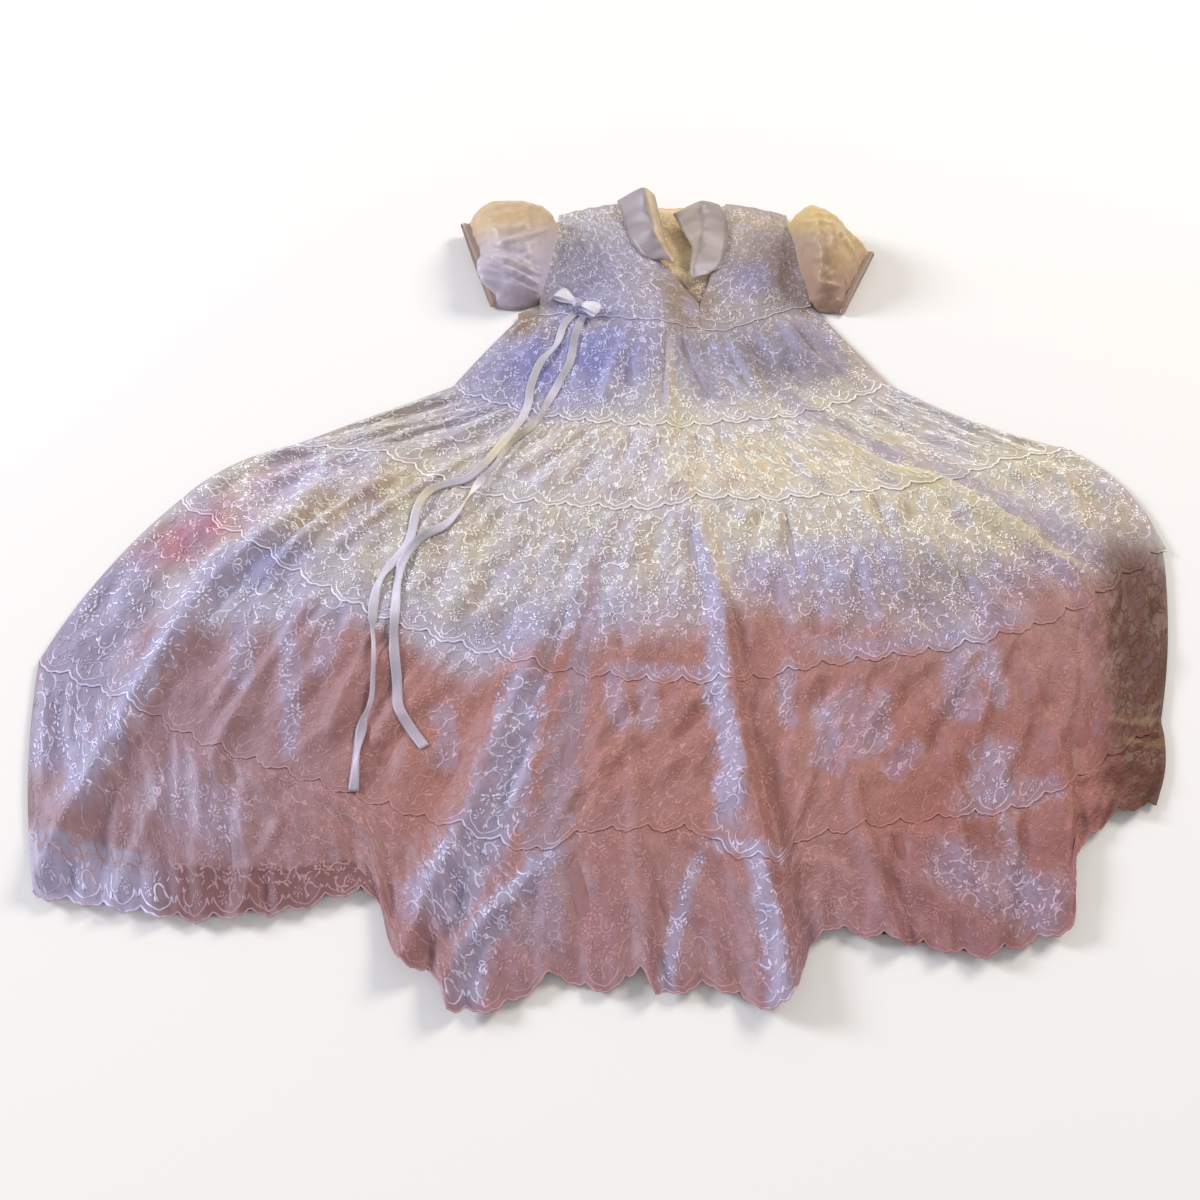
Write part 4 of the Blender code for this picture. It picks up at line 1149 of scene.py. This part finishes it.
def sleeve_tone(side, x, level, placed):
    """Cloth tones of a sleeve, made of painted light and shade: painted cool light and brown painted shade
    lower down, golden painted warm light over the top, painted highlights on its creases and painted shade in
    the hollows.
    """
    speck = 0.5 * wandering(x, level, 9.0, 41)
    if side == "left":
        # Painted cool light above, painted rose-brown shade at the lower right, a browner tone high near the
        # cuff, golden painted warm light over the top; crest is the painted highlight of the creases.
        tone = mix(rgb(0.64, 0.585, 0.73), rgb(0.63, 0.55, 0.60), rise(level, 60, 50))
        tone = mix(tone, rgb(0.47, 0.36, 0.38), rise(x, -142, 40) * rise(level, 60, -34))
        tone = mix(tone, rgb(0.50, 0.39, 0.34), 0.6 * rise(x, -132, -34) * rise(level, 74, 34))
        tone = mix(tone, rgb(0.66, 0.49, 0.29), rise(level - 0.16 * (x + 130.0) + 7.0 * speck, 98, 38))
        crest = rgb(0.84, 0.74, 0.64)
    else:
        # Brown painted shade below, a golden painted glow and golden painted warm light over the top; crest
        # is the painted highlight of the creases.
        tone = mix(rgb(0.48, 0.32, 0.25), rgb(0.54, 0.36, 0.21), rise(level, 44, 44))
        tone = mix(tone, rgb(0.52, 0.41, 0.36), 0.8 * rise(x, 136, -40) * rise(level, 56, 40))
        tone = mix(tone, rgb(0.68, 0.50, 0.24), 0.7 * bell(x, 140, 12) * bell(level, 92, 16))
        fade = rise(level + 0.8 * np.clip(x - 134.0, 0, None) + 7.0 * speck, 100, 40)
        tone = mix(tone, rgb(0.75, 0.56, 0.215), fade)
        crest = rgb(0.86, 0.70, 0.46)
    # Painted highlight on the creases and painted shade in their hollows.
    tone = mix(tone, crest, np.clip(0.32 * (placed - 0.7), 0, 0.5))
    tone = mix(tone, tone * rgb(0.84, 0.78, 0.74), np.clip(-0.20 * (placed + 0.2), 0, 0.5))
    return tone * (1.06 + 0.05 * speck)[..., None]


def make_cuff(side, corners, angle, run):
    """A narrow bound cuff on the sleeve's last ring."""
    aa, pp = np.meshgrid(angle, np.linspace(0, 1, 7))
    width = 5.6 if side == "left" else 4.0
    grid = sleeve_ring(np.ones_like(aa), corners, aa, 0.2 + 0.7 * np.sin(math.pi * pp))
    grid[..., :2] += run * (0.3 + width * pp)[..., None]
    grid[..., 2] = np.clip(grid[..., 2] * 0.92 + 0.3, 0.4, None)
    tone = rgb(0.60, 0.46, 0.39) * (1.0 - 0.25 * np.sin(math.pi * pp) ** 8)[..., None]
    return make_cloth("cuff_" + side, BIND, grid, aa * 28.0, pp * 6.0, tone, closed=True)


def make_sleeve(side, *corners):
    along = 104
    around = 230
    # a first ring past the armhole seam, laid down on the bodice
    parts = np.concatenate([[-0.05, -0.03], np.linspace(0, 1, along - 2)])
    angle = np.linspace(0, 2 * math.pi, around, endpoint=False)
    aa, pp = np.meshgrid(angle, parts)
    grid = sleeve_ring(pp, corners, aa)
    for _ in range(14 if side == "left" else 50):
        grid[3:-1] = 0.25 * grid[2:-2] + 0.5 * grid[3:-1] + 0.25 * grid[4:]
    grid[:2, :, 2] = np.minimum(grid[:2, :, 2], [[5.0], [6.4]])
    x = grid[..., 0].copy()
    level = grid[..., 1] + 1.2 * grid[..., 2]
    placed, crease = sleeve_creases(side, x, level, aa, pp)
    normal = grid_normals(np.concatenate([grid, grid[:, :1]], axis=1))[:, :-1]
    outward = np.where(np.sin(aa) >= -0.2, 1.0, 0.0) * rise(pp, 0.0, 0.06)
    grid = grid + normal * ((crease - 0.4) * outward)[..., None]
    run = unit(np.subtract(corners[4:6], corners[0:2]))
    if side == "left":
        # the puff hangs over the middle of its cuff
        over = bell(pp, 0.94, 0.08) * bell(level, 64.0, 21.0, 4) * rise(np.sin(aa), 0.15, 0.45)
        grid[..., :2] += run * (12.0 * over)[..., None]
        grid[..., 2] += 4.5 * over
    grid[..., 2] = np.clip(grid[..., 2], 0.5, None)
    tone = sleeve_tone(side, x, level, placed)
    sleeve = make_cloth("sleeve_" + side, PUFF, grid, aa * 30.0, pp * 80.0, tone, closed=True)
    return sleeve, make_cuff(side, corners, angle, run)


sleeve_items = [make_sleeve(*row) for row in SLEEVES]


# ---------------------------------------------------------------- collar, bow and ribbons

COLLAR_SEAM_Z = 7.2
KNOT_Z = knot_low.z * 1000.0
RIBBON_TONE = rgb(0.80, 0.77, 0.90)


def make_collar(node, table, inner_tone, outer_tone, foot=0.0):
    """A band from its seam over its fold to its free edge. foot is how strongly its low end takes a painted
    bluish sheen.
    """
    parts = np.linspace(0, 1, 60)
    keys, *columns = np.transpose(table)
    sx, sy, fx, fy, fz, ex, ey, ez = [softened(np.interp(parts, keys, column), 2.0) for column in columns]
    lines = ((sx, sy, np.full_like(sx, COLLAR_SEAM_Z)), (fx, fy, fz), (ex, ey, ez))
    seam, fold, free = (np.stack(axes, -1)[:, None] for axes in lines)
    t = np.linspace(0, 1, 26)[:, None]
    line = (seam + (fold - seam) * t) * (1 - t) + (fold + (free - fold) * t) * t
    grid = line + (fold - line) * 0.95 * (2.0 * t * (1 - t)) ** 0.8
    t = t.T
    part = parts[:, None]
    body = np.sin(math.pi * t)
    grid[..., 0] += 0.6 * np.sin(part * 19.0 + 1.0) * body
    grid[..., 1] += 8.0 * rise(part, 0.84, 0.16) * np.abs(2.0 * t - 0.9) ** 2.4
    grid[..., 2] += (0.7 * np.sin(part * 15.0 + 2.0 * t) + 0.4 * np.sin(part * 33.0 - 3.0 * t)) * body
    tone = mix(outer_tone, inner_tone, rise(t, 0.52, 0.2))
    # Painted bluish sheen on the low end.
    tone = mix(tone, rgb(0.60, 0.60, 0.72), foot * rise(part, 0.62, 0.3) * (1.0 - rise(t, 0.4, 0.2)))
    # Painted sheen and shade that follow the collar's ripples.
    waves = 0.09 * np.sin(part * 15.0 + 2.0 * t) + 0.05 * np.sin(part * 47.0 + 9.0 * t)
    return make_cloth(node, SATIN, grid, part * 90.0, t * 40.0, tone * (1.0 + waves)[..., None], thick=0.9)


collar_left = make_collar("collar_left", COLLAR_LEFT, rgb(0.62, 0.48, 0.30), rgb(0.41, 0.355, 0.375))
collar_right = make_collar("collar_right", COLLAR_RIGHT, rgb(0.50, 0.42, 0.36), rgb(0.40, 0.335, 0.345), 0.6)


def tree_of(grids):
    """A search tree over several cloths."""
    points = [grid.reshape(-1, 3) for grid in grids]
    starts = np.cumsum([0] + [len(part) for part in points])
    faces = [grid_quads(*grid.shape[:2]) + start for grid, start in zip(grids, starts)]
    return BVHTree.FromPolygons(np.vstack(points).tolist(), np.vstack(faces).tolist())


def top_at(tree, x, y):
    place = tree.ray_cast(Vector((x, y, 200.0)), Vector((0, 0, -1)))[0]
    return place.z if place is not None else 3.0


def make_tail(node, knots, tree, seed, tone):
    """A satin ribbon that rests on the cloth and lifts and rolls a little along its way, with painted light
    along it.
    """
    stations = 210
    path = curve_points(knots, stations)
    run = unit(np.gradient(path, axis=0))
    side = np.stack([-run[:, 1], run[:, 0]], 1)[:, None]
    rng = np.random.default_rng(seed)
    s = np.linspace(0, 1, stations)
    roll = np.zeros(stations)
    lift = np.zeros(stations)
    for _ in range(13):
        at = rng.uniform(0.05, 0.95)
        swell = bell(s, at, rng.uniform(0.02, 0.05))
        roll += rng.choice((-1.0, 1.0)) * rng.uniform(0.4, 1.25) * swell
        lift += rng.uniform(0.4, 1.8) * swell
    across = np.linspace(-0.5, 0.5, 5)
    spots = path[:, None] + side * (across * RIBBON_WIDTH)[:, None]
    ground = np.array([[top_at(tree, *spot) for spot in row] for row in spots])
    rest = np.maximum(ground.max(axis=1, keepdims=True) * 0.6 + ground * 0.4, ground)
    rest = np.maximum(np.stack([softened(column, 2.0) for column in rest.T], 1), ground)
    width = (RIBBON_WIDTH - 0.6) * np.cos(np.clip(roll, -1.25, 1.25))
    flat = path[:, None] + side * (across * width[:, None])[..., None]
    tilt = across * RIBBON_WIDTH * 0.5 * np.sin(roll)[:, None]
    z = np.maximum(rest + 0.55 + lift[:, None] + tilt + 0.25 * np.abs(across), ground + 0.5)
    grid = np.dstack([flat, z])
    # Painted light along the ribbon: two cream painted highlights, painted shade near the bow and towards its
    # end, and a painted sheen that follows its roll.
    tones = mix(tone, rgb(0.88, 0.79, 0.56), 0.85 * (bell(s, 0.34, 0.05) + bell(s, 0.49, 0.03)))
    tones = mix(tones, tone * rgb(0.74, 0.66, 0.72), rise(s, 0.66, 0.3))
    tones = mix(tones, tone * 0.78, rise(s, 0.24, -0.12))
    sheen = 0.92 + 0.18 * np.sin(s * 47.0 + seed) * np.sin(s * 23.0) + 0.16 * np.sin(roll * 2.0)
    tones = (tones * sheen[:, None])[:, None]
    return make_cloth(node, SATIN, grid, s[:, None] * 480.0, across * RIBBON_WIDTH, tones, thick=0.35), grid


def make_loop(node, degrees, length, start_x, start_y):
    """One loop of the bow: a ribbon that runs out, turns over and comes back."""
    c = math.cos(math.radians(degrees))
    s = math.sin(math.radians(degrees))
    t = np.linspace(0, 2 * math.pi, 44)[:, None]
    share = np.linspace(-0.5, 0.5, 8)
    out = 0.5 - 0.5 * np.cos(t)
    along = length * out * (1.0 - 0.06 * np.sin(t))
    aside = (4.6 + 7.0 * rise(along, 0.0, length / 1.15)) * share
    along = along * (1.0 + 0.8 * (1 - (2 * share) ** 2) / length)
    z = KNOT_Z + 3.0 + (1.3 + 2.3 * out + 0.5 * np.cos(9.0 * share)) * np.sin(t)
    grid = np.dstack([
        BOW_X + start_x + c * along - s * aside,
        BOW_Y + start_y + s * along + c * aside,
        np.clip(z, KNOT_Z + 0.5, None),
    ])
    tone = rgb(0.90, 0.90, 0.99)
    return make_cloth(node, SATIN, grid, np.arange(44)[:, None], np.arange(8), tone, thick=0.35)


def make_knot():
    aa, bb = np.meshgrid(np.linspace(0, 2 * math.pi, 26, endpoint=False), np.linspace(-1.45, 1.45, 16))
    radius = 1.0 + 0.06 * np.sin(3 * aa + 1.0) + 0.05 * np.sin(7 * bb)
    grid = np.dstack([
        BOW_X + 4.4 * radius * np.cos(bb) * np.cos(aa),
        BOW_Y + 4.9 * radius * np.cos(bb) * np.sin(aa),
        KNOT_Z + 3.4 + 3.3 * radius * np.sin(bb),
    ])
    make_cloth("bow_knot", SATIN, grid, aa * 4.0, bb * 4.0, rgb(0.60, 0.58, 0.74), closed=True)


cloth_grids = list(tier_grids.values()) + [left_grid, right_grid]
tail_left, tail_grid = make_tail("ribbon_tail_left", TAIL_LEFT, tree_of(cloth_grids), 5, RIBBON_TONE)
cloth_grids.append(tail_grid)
tail_right, _ = make_tail("ribbon_tail_right", TAIL_RIGHT, tree_of(cloth_grids), 8, RIBBON_TONE * 0.96)
loop_left = make_loop("bow_loop_left", 143.0, 18.0, -1.5, 1.5)
loop_right = make_loop("bow_loop_right", -27.0, 17.0, 1.5, -0.5)
make_knot()


# ---------------------------------------------------------------- floor, light and camera

def make_floor(half):
    """A sheet of plain white paper under the gown."""
    mesh = bpy.data.meshes.new("floor")
    corners = [(x * half, y * half, -0.0002) for x, y in ((-1, -1), (1, -1), (1, 1), (-1, 1))]
    mesh.from_pydata(corners, [], [(0, 1, 2, 3)])
    floor = bpy.data.objects.new("floor", mesh)
    bpy.context.scene.collection.objects.link(floor)
    paper = bpy.data.materials.new("floor_paper")
    paper.use_nodes = True
    tree = paper.node_tree
    noise = add_node(tree, "TexNoise", {"Scale": 3.0})
    change = add_node(tree, "MapRange", {"Value": noise.outputs["Fac"], "To Min": 0.985, "To Max": 1.0})
    pale = (0.93, 0.93, 0.93)
    tint = add_node(tree, "VectorMath", {0: pale, "Scale": change.outputs["Result"]}, operation="SCALE")
    shader = tree.nodes["Principled BSDF"]
    shader.inputs["Roughness"].default_value = 0.9
    tree.links.new(tint.outputs["Vector"], shader.inputs["Base Color"])
    mesh.materials.append(paper)


def add_light(name, place, size, power, colour):
    data = bpy.data.lights.new(name, "AREA")
    data.shape = "DISK"
    data.size = size
    data.energy = power
    data.color = colour
    lamp = bpy.data.objects.new(name, data)
    bpy.context.scene.collection.objects.link(lamp)
    lamp.location = (cad_low + cad_high) / 2 + Vector(place)
    lamp.rotation_euler = Vector(place).to_track_quat("Z", "Y").to_euler()


def light_world():
    """A soft even light that looks white to the camera."""
    world = bpy.data.worlds.new("studio")
    bpy.context.scene.world = world
    world.use_nodes = True
    tree = world.node_tree
    tree.nodes.clear()
    ambient = add_node(tree, "Background", {"Color": (1.0, 0.97, 0.96, 1.0), "Strength": 0.44})
    white = add_node(tree, "Background", {"Color": (1.0, 1.0, 1.0, 1.0), "Strength": 1.0})
    seen = add_node(tree, "LightPath").outputs["Is Camera Ray"]
    sky = add_node(tree, "MixShader", {"Fac": seen, 1: ambient.outputs[0], 2: white.outputs[0]})
    add_node(tree, "OutputWorld", {"Surface": sky.outputs["Shader"]})


CAMERA_HEIGHT = 0.6052
CAMERA_BACK = 0.6416     # from the waist's middle to the point under the camera
CAMERA_ASIDE = 0.057     # the camera stands this far to the left of the gown's middle
TILT = 57.35             # degrees below level


def add_camera():
    data = bpy.data.cameras.new("camera")
    data.sensor_width = 36.0
    data.lens = 32.43
    camera = bpy.data.objects.new("camera", data)
    bpy.context.scene.collection.objects.link(camera)
    camera.location = (SHIFT[0] * MM - CAMERA_ASIDE, SHIFT[1] * MM - CAMERA_BACK, CAMERA_HEIGHT)
    camera.rotation_euler = (math.radians(90.0 - TILT), 0.0, 0.0)
    bpy.context.scene.camera = camera


make_floor(6.0)
add_light("key", (-3.4, 0.9, 1.70), 1.2, 112.0, (0.90, 0.92, 1.0))
add_light("fill", (2.4, 1.9, 2.2), 1.4, 80.0, (1.0, 0.91, 0.80))
light_world()
add_camera()
bpy.context.scene.view_settings.view_transform = "Standard"
